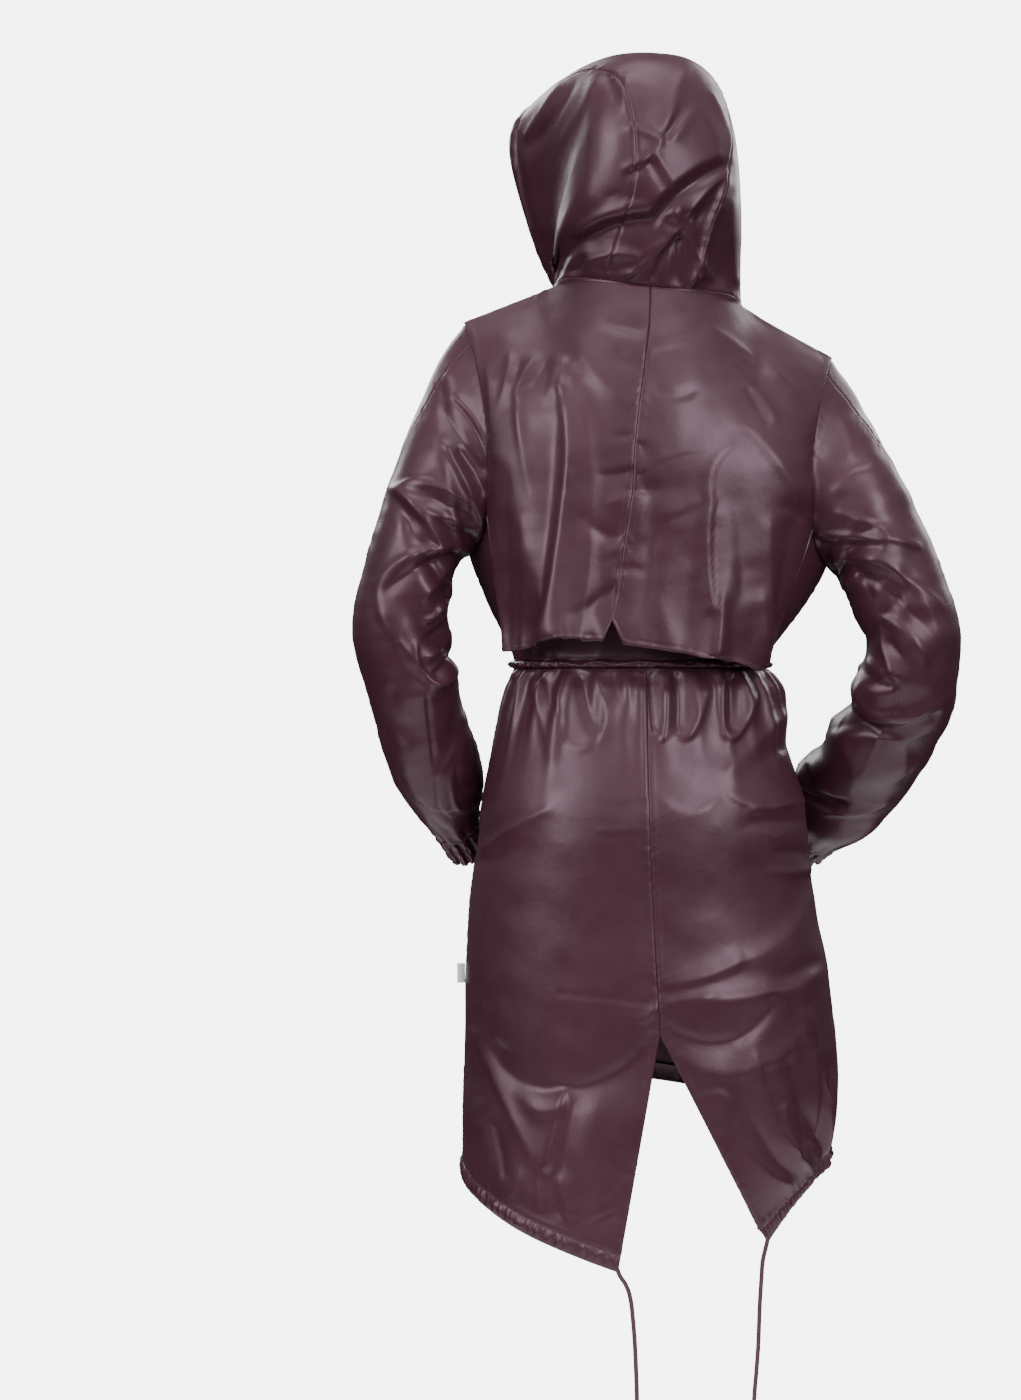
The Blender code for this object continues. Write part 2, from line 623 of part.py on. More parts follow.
def skirt_surface(panel, across, down, trim=0.0):
    """across is 0 at the side seam and 1 at the centre edge; down is 0 at the waist and 1 at the casing."""
    hem_z = HEM[panel].at(across)[0] + trim
    height = WAIST_LOW + (hem_z - WAIST_LOW) * down
    turn = side_turn(panel) + (centre_turn(panel, height) - side_turn(panel)) * across
    return ring(turn, height) + outward_of_ring(turn, height) * skirt_folds(panel, across, height)[..., None]


def casing_surface(panel, across, down):
    """The hem's drawcord casing: the skirt's last stretch, a little proud, ruched along the cord."""
    top = skirt_surface(panel, across, np.ones_like(across), CASING)
    low = skirt_surface(panel, across, np.ones_like(across))
    points = top + (low - top) * down[..., None]
    hem_z = HEM[panel].at(across)[0]
    turn = side_turn(panel) + (centre_turn(panel, hem_z) - side_turn(panel)) * across
    roundness = 4 * down * (1 - down)
    bunch = 14 if panel == "back_right" else 9
    swing = 0.0030 * hump(across - DRAWN_CORNER[0], 0.22) if panel == "back_right" else 0.0006
    swing = swing * ease(across / 0.06) * (0.3 + 0.7 * roundness)
    ruche = 0.0018 * roundness + swing * np.cos(2 * math.pi * bunch * across)
    return points + outward_of_ring(turn, hem_z) * ruche[..., None]


def channel_surface(share, up):
    """The waist channel, from the left front edge (0) round the back to the right front edge (1)."""
    height = WAIST_LOW + (WAIST_TOP - WAIST_LOW) * up
    turn = -90.0 + 360.0 * share
    bulge = CHANNEL_BULGE * np.sqrt(np.clip(4 * up * (1 - up), 0, 1))
    wave = 0.0012 * np.cos(2 * math.pi * 19 * share) * (0.3 + 0.7 * up * (1 - up) * 4)
    return ring(turn, height) + outward_of_ring(turn, height) * (bulge + wave)[..., None]


# ---------------------------------------------------------------- walls of cloth


def outward(grid, wrapped=False):
    """Unit normals of a grid of points, from its own neighbours."""
    if wrapped:
        across = np.roll(grid, -1, axis=1) - np.roll(grid, 1, axis=1)
    else:
        across = np.gradient(grid, axis=1)
    return unit(np.cross(across, np.gradient(grid, axis=0)))


class Wall:
    """One piece of cloth: its outer points, the way its thickness goes, and how it is finished."""

    def __init__(self, name, grid, material, thick=WALL, wrapped=False, normals=None, level_rims=()):
        self.name, self.grid, self.material = name, grid, material
        self.thick, self.wrapped = thick, wrapped
        self.normals = outward(grid, wrapped) if normals is None else normals
        for row in level_rims:
            self.normals[row, :, 2] = 0
            self.normals[row] = unit(self.normals[row])

    def borders(self):
        """The rim's points as pairs of indices."""
        rows, columns = self.grid.shape[:2]
        found = [(r, c) for r in (0, rows - 1) for c in range(columns)]
        if not self.wrapped:
            found += [(r, c) for r in range(1, rows - 1) for c in (0, columns - 1)]
        return found

    def draw_in(self, low=SEAM / 2, high=SEAM / 2, first=SEAM / 2, last=SEAM / 2):
        """Pulls the rims back along the cloth: its first and last rows, and its first and last columns."""
        pulled = self.grid.copy()
        rims = [(0, 0, 1, low), (0, -1, -2, high)]
        if not self.wrapped:
            rims += [(1, 0, 1, first), (1, -1, -2, last)]
        for axis, rim, neighbour, gap in rims:
            edge = np.take(self.grid, rim, axis=axis)
            where = [slice(None)] * 2
            where[axis] = rim
            pulled[tuple(where)] += unit(np.take(self.grid, neighbour, axis=axis) - edge) * gap
        self.grid = pulled

    def build(self):
        rows, columns = self.grid.shape[:2]
        inner = self.grid - self.normals * self.thick
        corners = np.concatenate([self.grid.reshape(-1, 3), inner.reshape(-1, 3)])
        offset = rows * columns

        faces = []

        def quad(a, b, c, d):
            faces.extend(((a, b, c), (a, c, d)))

        last = columns if self.wrapped else columns - 1
        for r in range(rows - 1):
            for c in range(last):
                right = (c + 1) % columns
                a, b = r * columns + c, r * columns + right
                d, e = a + columns, b + columns
                quad(a, b, e, d)
                faces.extend(((offset + a, offset + e, offset + b), (offset + a, offset + d, offset + e)))
        for c in range(last):
            right = (c + 1) % columns
            quad(c, offset + c, offset + right, right)
            top = (rows - 1) * columns
            quad(top + right, offset + top + right, offset + top + c, top + c)
        if not self.wrapped:
            for r in range(rows - 1):
                a, d = r * columns, (r + 1) * columns
                quad(d, offset + d, offset + a, a)
                a, d = a + columns - 1, d + columns - 1
                quad(a, offset + a, offset + d, d)
        return add_object(self.name, corners, faces, self.material)


def add_object(name, corners, faces, material):
    """A mesh object, with its faces turned outward."""
    first, second, third = (corners[[f[i] for f in faces]] for i in (0, 1, 2))
    if np.sum(first * np.cross(second, third)) < 0:
        faces = [tuple(reversed(f)) for f in faces]
    mesh = bpy.data.meshes.new(name)
    mesh.from_pydata([tuple(p) for p in corners], [], faces)
    mesh.materials.append(material)
    mesh.shade_smooth()
    mesh.set_sharp_from_angle(angle=math.radians(50))
    made = bpy.data.objects.new(name, mesh)
    bpy.context.scene.collection.objects.link(made)
    return made


def share_normals(walls):
    """Where rims lie on one seam, their thickness goes the same way, so that the joint is a mitre."""
    meeting = {}
    for wall in walls:
        for r, c in wall.borders():
            key = tuple(np.round(wall.grid[r, c], 5))
            meeting.setdefault(key, []).append((wall, r, c))
    for places in meeting.values():
        if len(places) < 2:
            continue
        mean = sum(wall.normals[r, c] for wall, r, c in places)
        mean = mean / np.linalg.norm(mean)
        for wall, r, c in places:
            wall.normals[r, c] = mean


def steps(*parts):
    """Stations from (start, end, count) runs laid end to end."""
    found = [parts[0][0]]
    for start, end, count in parts:
        found += [start + (end - start) * (i + 1) / count for i in range(count)]
    return np.array(found)


def grid_of(columns, rows):
    return np.meshgrid(columns, rows)


# ---------------------------------------------------------------- the pieces

BACK_COLUMNS = steps(
    (1.0, NECK_SHARE_BACK, 8),
    (NECK_SHARE_BACK, -NECK_SHARE_BACK, 12),
    (-NECK_SHARE_BACK, -1.0, 8),
)
CAPE_LEFT_COLUMNS = steps((1.0, NECK_SHARE_BACK, 8), (NECK_SHARE_BACK, 0.0, 6))
CAPE_RIGHT_COLUMNS = steps((0.0, -NECK_SHARE_BACK, 6), (-NECK_SHARE_BACK, -1.0, 8))
FRONT_LEFT_COLUMNS = steps((0.0, NECK_SHARE_FRONT, 6), (NECK_SHARE_FRONT, 1.0, 8))
BODICE_ROWS = steps((0.0, 1.0, 4), (1.0, 2.0, 8))
CAPE_ROWS = steps((0.0, 0.8, 4), (0.8, 1.0, 2), (1.0, 2.0, 6))
SLEEVE_ROWS = steps((0.0, 0.10, 2), (0.10, CUFF_START, 15))
CUFF_ROWS = steps((CUFF_START + 0.0004, 1.0, 3))
HOOD_ROWS = steps((0.0, 8.6, 14))
HOOD_HEM_ROWS = steps((8.64, 9.0, 1))


def back_piece(cloth):
    across, level = grid_of(BACK_COLUMNS, BODICE_ROWS)
    return Wall("back_bodice", back_surface(across, level), cloth, level_rims=(0,))


def front_pieces(cloth):
    made = []
    for side, name in ((1, "front_left_bodice"), (-1, "front_right_bodice")):
        columns = FRONT_LEFT_COLUMNS if side > 0 else -FRONT_LEFT_COLUMNS[::-1]
        across, level = grid_of(columns, BODICE_ROWS)
        made.append(Wall(name, front_surface(across, level), cloth, level_rims=(0,)))
    return made


def cape_pieces(cloth):
    made = []
    for name, columns in (("cape_left", CAPE_LEFT_COLUMNS), ("cape_right", CAPE_RIGHT_COLUMNS)):
        across, level = grid_of(columns, CAPE_ROWS)
        made.append(Wall(name, cape_surface(across, level, WALL + LAYER), cloth))
    return made


def sleeve_pieces(cloth):
    made = []
    for side in ("left", "right"):
        seam = SLEEVE_SEAM.at(SLEEVE_ROWS)[0]
        for part, count, start, end in (("back", 7, seam, 180.0), ("front", 9, 180.0, seam + 360.0)):
            share = np.linspace(0, 1, count + 1)[None, :]
            start_turn = np.broadcast_to(np.asarray(start), SLEEVE_ROWS.shape)[:, None]
            end_turn = np.broadcast_to(np.asarray(end), SLEEVE_ROWS.shape)[:, None]
            turn = start_turn + (end_turn - start_turn) * share
            along = np.broadcast_to(SLEEVE_ROWS[:, None], turn.shape)
            grid, facing = sleeve_surface(side, turn, along)
            made.append(Wall(f"sleeve_{side}_{part}", grid, cloth, normals=facing))
    return made


def cuff_pieces(cloth):
    made = []
    for side in ("left", "right"):
        turn, along = grid_of(np.arange(0, 360, 10.0), CUFF_ROWS)
        grid, facing = cuff_surface(side, turn, along)
        made.append(Wall(f"cuff_{side}", grid, cloth, wrapped=True, normals=facing))
    return made


def hood_pieces(cloth):
    gusset = GUSSET.at(HOOD_ROWS)[0][:, None]
    rib = HOOD_ROWS[:, None]
    to_shoulder = NECK_SIDE - gusset[0, 0]
    behind = np.arange(5) / 4 * to_shoulder
    before = to_shoulder + np.arange(1, 7) / 6 * (1 - NECK_SIDE)
    side_steps = np.concatenate([behind, before])
    side_steps = side_steps / side_steps[-1]
    middle = gusset * np.linspace(1, -1, 5)[None, :]
    left = gusset + (1 - gusset) * side_steps[None, ::-1]
    made = []
    for name, share in (("hood_gusset", middle), ("hood_left", left), ("hood_right", -left[:, ::-1])):
        made.append(Wall(name, hood_surface(share, np.broadcast_to(rib, share.shape)), cloth))
    share, rib = grid_of(steps((1.0, -1.0, 28)), HOOD_HEM_ROWS)
    hem = hood_surface(share, rib)
    made.append(Wall("hood_hem", hem + outward(hem) * 0.0008, cloth, thick=0.0035))
    return made


def skirt_pieces(cloth):
    made = []
    for panel, count in (("back_left", 21), ("back_right", 21), ("front_left", 12), ("front_right", 12)):
        columns = np.linspace(0, 1, count + 1)
        if panel in ("back_right", "front_left"):
            columns = columns[::-1]
        vent = (VENT_TOP - WAIST_LOW) / (float(HEM[panel].at(1.0)[0]) + CASING - WAIST_LOW)
        across, down = grid_of(columns, steps((1.0, vent, 4), (vent, 0.20, 4), (0.20, 0.0, 4)))
        grid = skirt_surface(panel, across, down, CASING)
        made.append(Wall(f"skirt_{panel}", grid, cloth, level_rims=(-1,)))
    return made


def casing_pieces(cloth):
    """One strip on each side, from the front closure round the side seam to the vent."""
    front, back = np.linspace(0, 1, 13), np.linspace(0, 1, 22)
    rows = np.array((1.0, 0.5, 0.0))
    made = []
    for side in ("left", "right"):
        on_front = casing_surface(f"front_{side}", *grid_of(front, rows))
        on_back = casing_surface(f"back_{side}", *grid_of(back, rows))
        grid = np.concatenate([on_front[:, :0:-1], on_back], axis=1)
        if side == "right":
            grid = grid[:, ::-1]
        made.append(Wall(f"hem_casing_{side}", grid, cloth, thick=0.0025))
    return made


def channel_piece(cloth):
    share, up = grid_of(np.linspace(0, 1, 57), np.array((0.0, 0.3, 0.7, 1.0)))
    return Wall("waist_channel", channel_surface(share, up), cloth, level_rims=(0, -1))


def placket_piece(cloth):
    """The band over the closure, laid on the fronts' own points and stepped over the waist channel."""
    across = np.linspace(PLACKET_SHARE, -PLACKET_SHARE, 5)
    to_side = 1 - np.abs(across)
    rows, stands = [], []
    for down in steps((1.0, 0.1, 9), (0.1, 0.0, 1)):
        level = np.full_like(across, down)
        half = [skirt_surface("front_left", to_side, level), skirt_surface("front_right", to_side, level)]
        rows.append(np.where((across >= 0)[:, None], *half))
        stands.append({0.0: 0.0095, 1.0: 0.0064, 0.9: 0.0052}.get(round(float(down), 3), 0.0036))
    for up in steps((0.0, 0.25, 1), (0.25, 1.0, 3), (1.0, 1.965, 7)):
        rows.append(front_surface(across, np.full_like(across, up)))
        stands.append(0.0095 if up == 0 else 0.0036)
    grid = np.array(rows)[:, ::-1]
    grid = grid + outward(grid) * np.array(stands)[:, None, None]
    return Wall("front_placket", grid, cloth, thick=0.0022)


def snap_caps(metal, placket_grid):
    """Press studs at the placket's top and over the waist, each seated just clear of the cloth."""
    middle = placket_grid[:, 2]
    side = np.array((1.0, 0.0, 0.0))
    for name, row in (("snap_neck", 20), ("snap_waist", 13)):
        up = unit(middle[row + 1] - middle[row - 1])
        facing = unit(np.cross(side, up))
        base = middle[row] + facing * 0.0009
        corners, faces = [], [tuple(reversed(range(12))), tuple(range(24, 36))]
        for radius, height in ((1.0, 0.0), (1.0, 0.4), (0.62, 1.0)):
            for k in range(12):
                angle = 2 * math.pi * k / 12
                offset = side * math.cos(angle) + up * math.sin(angle)
                corners.append(base + offset * SNAP_RADIUS * radius + facing * SNAP_HEIGHT * height)
        for level in (0, 12):
            for k in range(12):
                a, b = level + k, level + (k + 1) % 12
                faces.append((a, b, b + 12, a + 12))
        add_object(name, np.array(corners), faces, metal)


def pocket_pieces(cloth):
    """A patch pocket on each front, its upper side corner cut away for the hand."""
    made = []
    for side in ("left", "right"):
        panel = f"front_{side}"
        columns = np.linspace(*POCKET["across"], 8)
        if side == "left":
            columns = columns[::-1]
        across, up = grid_of(columns, np.linspace(0, 1, 8))
        cut = np.clip((POCKET["across"][1] - across) / (POCKET["across"][1] - POCKET["across"][0]), 0, 1)
        top = POCKET["top"] + (POCKET["side_top"] - POCKET["top"]) * cut**1.5
        height = POCKET["bottom"] + (top - POCKET["bottom"]) * up
        turn = side_turn(panel) + (centre_turn(panel, height) - side_turn(panel)) * across
        body = ring(turn, height)
        gape = 0.012 * ease(up) * np.sin(math.pi * (across - across.min()) / np.ptp(across))
        stand = WALL + 0.0007 + gape
        folds = skirt_folds(panel, across, height)
        grid = body + outward_of_ring(turn, height) * (stand + folds)[..., None]
        made.append(Wall(f"pocket_{side}", grid, cloth))
    return made


def label_piece(white):
    """A bare folded ribbon in the left side seam."""
    edge = ring(np.array(0.0), np.array(-0.7535))
    start = edge[0] + SEAM
    rows = np.array((-0.7645, -0.7535, -0.7425))
    x, z = np.meshgrid(np.array((start, start + 0.009)), rows)
    grid = point(x, edge[1] + 0.0005, z)
    return Wall("side_label", grid, white, thick=0.001)


def cord_objects(cloth):
    """The drawcords' free ends, on a smooth curve through their route's own points."""
    for side, route in CORDS.items():
        lengths = np.concatenate([[0], np.cumsum(np.linalg.norm(np.diff(np.array(route), axis=0), axis=1))])
        curve_table = Table("run x y z", *[(run, *place) for run, place in zip(lengths, route)])
        runs = np.linspace(0, lengths[-1], 17)
        places = curve_table.at(runs).T
        curve = bpy.data.curves.new(f"drawcord_{side}", "CURVE")
        curve.dimensions = "3D"
        curve.bevel_depth = CORD_DIAMETER / 2
        curve.bevel_resolution = 2
        curve.use_fill_caps = True
        line = curve.splines.new("POLY")
        line.points.add(len(places) - 1)
        for spot, place in zip(line.points, places):
            spot.co = (*place, 1.0)
        curve.materials.append(cloth)
        made = bpy.data.objects.new(f"drawcord_{side}", curve)
        bpy.context.scene.collection.objects.link(made)


def material(name, colour, roughness, metallic=0.0):
    made = bpy.data.materials.new(name)
    made.use_nodes = True
    shader = made.node_tree.nodes["Principled BSDF"]
    shader.inputs["Base Color"].default_value = colour
    shader.inputs["Roughness"].default_value = roughness
    shader.inputs["Metallic"].default_value = metallic
    return made


def main():
    for old in list(bpy.data.objects):
        bpy.data.objects.remove(old)
    cloth = material("coated_cloth", BURGUNDY, 0.38)
    white = material("label_ribbon", LABEL_WHITE, 0.7)
    metal = material("snap_metal", SNAP_METAL, 0.35, 0.6)

    placket = placket_piece(cloth)
    walls = [back_piece(cloth), *front_pieces(cloth), *sleeve_pieces(cloth), *hood_pieces(cloth)]
    walls += [*skirt_pieces(cloth), *casing_pieces(cloth)]
    share_normals(walls)
    capes = cape_pieces(cloth)
    share_normals(capes)
    loose = [channel_piece(cloth), placket, *pocket_pieces(cloth), *cuff_pieces(cloth), label_piece(white)]
    capes[0].draw_in(high=CAPE_SEAM, first=CAPE_SEAM)
    capes[1].draw_in(high=CAPE_SEAM, last=CAPE_SEAM)
    for wall in [*walls, *loose]:
        if wall.name not in ("side_label", "front_placket"):
            wall.draw_in(low=ARMHOLE_SEAM if wall.name.startswith("sleeve") else SEAM / 2)
    for wall in [*walls, *capes, *loose]:
        wall.build()
    snap_caps(metal, placket.grid)
    cord_objects(cloth)


main()
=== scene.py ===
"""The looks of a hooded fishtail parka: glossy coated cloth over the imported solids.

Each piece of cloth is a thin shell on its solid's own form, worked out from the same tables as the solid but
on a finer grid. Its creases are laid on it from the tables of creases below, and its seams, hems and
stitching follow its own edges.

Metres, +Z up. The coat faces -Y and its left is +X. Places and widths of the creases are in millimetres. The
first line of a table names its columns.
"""

import math

import bpy
import numpy as np
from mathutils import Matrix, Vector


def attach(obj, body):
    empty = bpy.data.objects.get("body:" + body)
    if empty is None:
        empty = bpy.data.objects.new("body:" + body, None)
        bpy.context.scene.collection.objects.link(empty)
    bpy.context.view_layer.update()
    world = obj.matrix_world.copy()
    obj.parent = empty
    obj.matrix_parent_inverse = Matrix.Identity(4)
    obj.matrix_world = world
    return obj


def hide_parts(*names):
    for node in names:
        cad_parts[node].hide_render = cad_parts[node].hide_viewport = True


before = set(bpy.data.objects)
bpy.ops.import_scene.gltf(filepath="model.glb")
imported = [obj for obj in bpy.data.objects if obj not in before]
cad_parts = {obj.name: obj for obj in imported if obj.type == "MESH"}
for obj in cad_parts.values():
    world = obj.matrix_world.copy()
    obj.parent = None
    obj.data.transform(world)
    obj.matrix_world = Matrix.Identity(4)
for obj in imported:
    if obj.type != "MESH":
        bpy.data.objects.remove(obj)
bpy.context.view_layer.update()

# ---------------------------------------------------------------- driving sizes, as in the solids

WALL = 0.0015            # thickness of one layer of cloth
SEAM = 0.0004            # open gap between two pieces that are sewn together
LAYER = 0.0006           # open gap under a piece that lies on another
UNDERARM = -0.292        # height of the lowest point of the armholes
WAIST_TOP = -0.4040      # lower edge of the bodice
WAIST_LOW = -0.4130      # upper edge of the skirt
CHANNEL_BULGE = 0.0055   # how far the waist channel stands out over its cord
SHOULDER_ROLL = 0.1086   # rise of the left shoulder over the right one, per metre of width
CUFF_GATHERS = 12
CUFF_RUCHE = 0.0018      # half the depth of the cuff's gathers
CASING = 0.018           # width of the drawcord casing along the hem
CORD_DIAMETER = 0.005
PLACKET_SHARE = 0.088    # half the placket's width, as a share of a front's width


def words(text):
    """The rows of a table under its heading, each as its words."""
    return [line.split() for line in text.strip().splitlines()[1:]]


def numbers(text):
    """The rows of a table under its heading, as numbers."""
    return [[float(word) for word in row] for row in words(text)]


class Table:
    """Reads all but the first column of its rows, on a smooth curve through them, at a place in the first."""

    def __init__(self, rows):
        self.rows = np.array(numbers(rows) if isinstance(rows, str) else rows)
        self.stations = self.rows[:, 0]
        self.slopes = np.gradient(self.rows[:, 1:], self.stations, axis=0)

    def at(self, where):
        where = np.clip(np.asarray(where, float), self.stations[0], self.stations[-1])
        low = np.clip(np.searchsorted(self.stations, where) - 1, 0, len(self.stations) - 2)
        span = (self.stations[low + 1] - self.stations[low])[..., None]
        t = (where - self.stations[low])[..., None] / span
        first, last = self.rows[low, 1:], self.rows[low + 1, 1:]
        value = (
            first * (1 + 2 * t) * (1 - t) ** 2
            + last * t * t * (3 - 2 * t)
            + self.slopes[low] * span * t * (1 - t) ** 2
            - self.slopes[low + 1] * span * t * t * (1 - t)
        )
        return np.moveaxis(value, -1, 0)


# ---------------------------------------------------------------- tables of the form

# Level sections of the body. left and right reach along X, back and front along Y; square 2 is an ellipse.
BODY = Table(f"""
height left right back front square
-1.1 .207 -.15 .142 -.14 2.2
-1.01 .208 -.174 .146 -.144 2.2
-.96 .208 -.197 .148 -.146 2.2
-.9 .208 -.206 .15 -.148 2.2
-.8 .205 -.206 .151 -.147 2.2
-.74 .204 -.197 .15 -.142 2.2
-.66 .198 -.183 .149 -.135 2.2
-.6 .188 -.176 .147 -.129 2.2
-.55 .182 -.167 .141 -.125 2.2
-.5 .174 -.154 .13 -.119 2.2
-.46 .166 -.15 .119 -.112 2.2
-.436 .159 -.146 .111 -.107 2.2
-.41 .15 -.132 .1 -.1 2.2
-.375 .163 -.15 .104 -.106 2.2
-.35 .176 -.168 .11 -.112 2.2
-.325 .187 -.184 .117 -.119 2.2
{UNDERARM} .2 -.2 .124 -.126 2.2
-.24 .199 -.199 .132 -.134 2.3
-.2 .199 -.199 .132 -.134 2.3
""")

# The centre lines of the upper back and the upper front, from the underarm level up to the neckline.
CENTRE_BACK = Table(f"""
up y z
0 .124 {UNDERARM}
.25 .131 -.222
.5 .13 -.15
.75 .112 -.075
1 .075 .006
""")
CENTRE_FRONT = Table(f"""
up y z
0 -.126 {UNDERARM}
.25 -.133 -.232
.5 -.128 -.172
.75 -.108 -.113
1 -.085 -.055
""")

# Each armhole edge is a Bezier curve of four points, from the underarm up to the shoulder's tip.
UNDERARM_POINT = (0.200, 0.000, UNDERARM)
SHOULDER_TIP = (0.206, -0.003, -0.046)
ARMHOLE_BACK = (UNDERARM_POINT, (0.151, 0.110, -0.270), (0.185, 0.078, -0.090), SHOULDER_TIP)
ARMHOLE_FRONT = (UNDERARM_POINT, (0.136, -0.110, -0.262), (0.166, -0.078, -0.090), SHOULDER_TIP)

NECK_SIDE = 0.4806       # where the shoulder seam meets the neckline, from the nape at 0 to the throat at 1
NECK_SHARE_BACK = 0.36   # share of the back's top edge that is neckline
NECK_SHARE_FRONT = 0.40

# The hood's ribs, from the neckline to the face opening. Each is an oval from its hinge at the throat to its
# crown, half is half its width, and egg narrows it towards the throat. turned is the head's turn to the left.
HOOD = Table("""
rib hinge_y hinge_z crown_y crown_z half egg square rise turned shift roll
0 -.085 -.055 .076 .0065 .105 0 2 .024 0 0 1
1 -.086 -.036 .092 .048 .105 .02 2 .022 6 .001 .9
2 -.089 -.028 .113 .106 .108 .06 2.1 .018 19 .006 .7
3 -.092 -.021 .116 .167 .11 .16 2.2 .012 28 .012 .4
4 -.095 -.016 .1 .226 .112 .28 2.3 .006 32 .014 .2
5 -.098 -.012 .07 .261 .112 .38 2.4 0 33 .012 0
6 -.1 -.008 .028 .273 .114 .46 2.5 0 33 .01 0
7 -.102 -.005 -.02 .269 .117 .52 2.7 0 33 .01 0
8 -.104 -.002 -.07 .252 .12 .57 2.9 0 33 .01 0
9 -.106 0 -.118 .228 .122 .6 3 0 33 .01 0
""")
GUSSET = Table("""
rib share
0 .1602
1 .15
2 .15
3 .175
5 .2
9 .2
""")

# Sections of the sleeves: their outer and inner outlines seen from behind, how far back their middle lies,
# and half their depth. along runs from the armhole to the sleeve's end.
SLEEVES = {
    "left": Table("""
along out_x out_z in_x in_z middle_y deep
0 .206 -.0236 .2 -.2776 0 .085
.07 .229 -.057 .207 -.2815 .003 .082
.15 .252 -.107 .2095 -.286 .009 .077
.24 .276 -.168 .213 -.2945 .016 .071
.33 .298 -.232 .2175 -.312 .022 .066
.42 .317 -.298 .221 -.34 .028 .062
.5 .329 -.355 .225 -.371 .03 .059
.56 .328 -.392 .219 -.396 .026 .058
.64 .314 -.441 .212 -.427 .012 .057
.72 .3 -.493 .2 -.476 -.008 .056
.8 .285 -.54 .189 -.513 -.03 .054
.87 .263 -.575 .186 -.542 -.052 .049
.935 .24 -.602 .19 -.58 -.07 .036
1 .222 -.63 .18 -.608 -.088 .031
"""),
    "right": Table("""
along out_x out_z in_x in_z middle_y deep
0 -.206 -.0684 -.2 -.2895 0 .085
.07 -.227 -.1 -.2105 -.296 .002 .083
.15 -.251 -.142 -.2125 -.304 .008 .078
.24 -.277 -.192 -.215 -.317 .016 .071
.33 -.303 -.248 -.222 -.336 .022 .066
.42 -.328 -.308 -.233 -.362 .028 .062
.5 -.346 -.371 -.242 -.392 .028 .06
.56 -.345 -.429 -.232 -.4255 .018 .06
.63 -.3405 -.4648 -.2245 -.4502 -.006 .061
.69 -.329 -.494 -.207 -.4751 -.03 .061
.745 -.315 -.5225 -.1985 -.4985 -.05 .06
.79 -.2985 -.551 -.183 -.5117 -.07 .058
.84 -.279 -.5765 -.1725 -.527 -.085 .054
.89 -.255 -.5995 -.1745 -.557 -.1 .047
.935 -.2272 -.612 -.179 -.585 -.12 .036
1 -.211 -.627 -.175 -.601 -.15 .031
"""),
}
ARMHOLE_FADE = 0.30      # share of the sleeve over which the armhole's shape fades into the tube's
CUFF_START = 0.935
# Where the sleeve's back seam lies, in degrees from the outer outline towards the back.
SLEEVE_SEAM = Table("""
along turn
0 22.5
.3 14
.45 8
1 10
""")

# The largest folds of the sleeves: ridges (+) and troughs (-) across the arm.
SLEEVE_FOLDS = {
    "left": numbers("""
along turn slant height width span
.2 120 .0006 .004 .03 60
.38 130 .0009 -.0045 .024 60
.47 150 .0012 .006 .03 55
.545 160 .001 -.006 .022 50
.6 130 -.0006 .006 .03 50
.69 150 -.0008 -.005 .026 55
.78 110 .0008 .0035 .03 60
"""),
    "right": numbers("""
along turn slant height width span
.24 130 -.0007 -.005 .024 60
.31 120 -.0008 .005 .028 60
.44 120 .0009 -.004 .024 55
.55 140 .0006 .0065 .03 55
.62 140 .0004 -.0065 .022 60
.71 110 .0003 .004 .03 60
.86 130 .0005 -.005 .026 60
"""),
}

# The storm cape's free part. across is 1 at the left edge, 0 at the seam and -1 at the right edge.
CAPE_LEAVES = 0.25       # how far up the armhole the cape's edge stops being sewn in
CAPE_HEM = Table("""
across x y z
-1 -.129 .074 -.4085
-.9 -.124 .092 -.414
-.6 -.084 .124 -.406
-.3 -.022 .136 -.396
-.07 .032 .137 -.388
0 .0436 .136 -.386
.09 .056 .137 -.385
.4 .096 .137 -.383
.62 .12 .124 -.385
.75 .127 .1 -.39
1 .1633 .068 -.395
""")
CAPE_SEAM_BEND = 0.062    # how far the centre seam swings to the left on its way down
NOTCH_HALF = 0.07        # half the notch's width, in the cape's own measure
NOTCH_HEIGHT = 0.024
CAPE_WAVES = numbers("""
across height width
-.92 .0035 .06
-.7 -.006 .09
-.48 .007 .08
-.25 -.0035 .09
.2 -.003 .08
.52 .0075 .1
.74 -.009 .07
.92 .003 .08
""")

# The skirt. The back opens at its centre below the vent's top, and each side has its own edge there.
VENT_TOP = -0.8110
CENTRE_SEAM = Table(f"""
height x
-.811 -.008
-.72 -.003
-.6 .0028
{WAIST_LOW} .0045
""")
VENT_EDGE = {"left": (0.0373, -1.069), "right": (-0.1275, -1.0465)}
# Height of the hem, from the side seam (0) to the back's centre edge (1) or the front's (1).
HEM = {
    "back_left": Table("""
across z
0 -.977
.3 -1
.6 -1.03
.85 -1.054
1 -1.069
"""),
    "back_right": Table("""
across z
0 -.96
.25 -.983
.5 -1.007
.75 -1.029
1 -1.0465
"""),
    "front_left": Table("""
across z
0 -.977
.35 -.945
.7 -.908
1 -.885
"""),
    "front_right": Table("""
across z
0 -.96
.35 -.93
.7 -.902
1 -.885
"""),
}
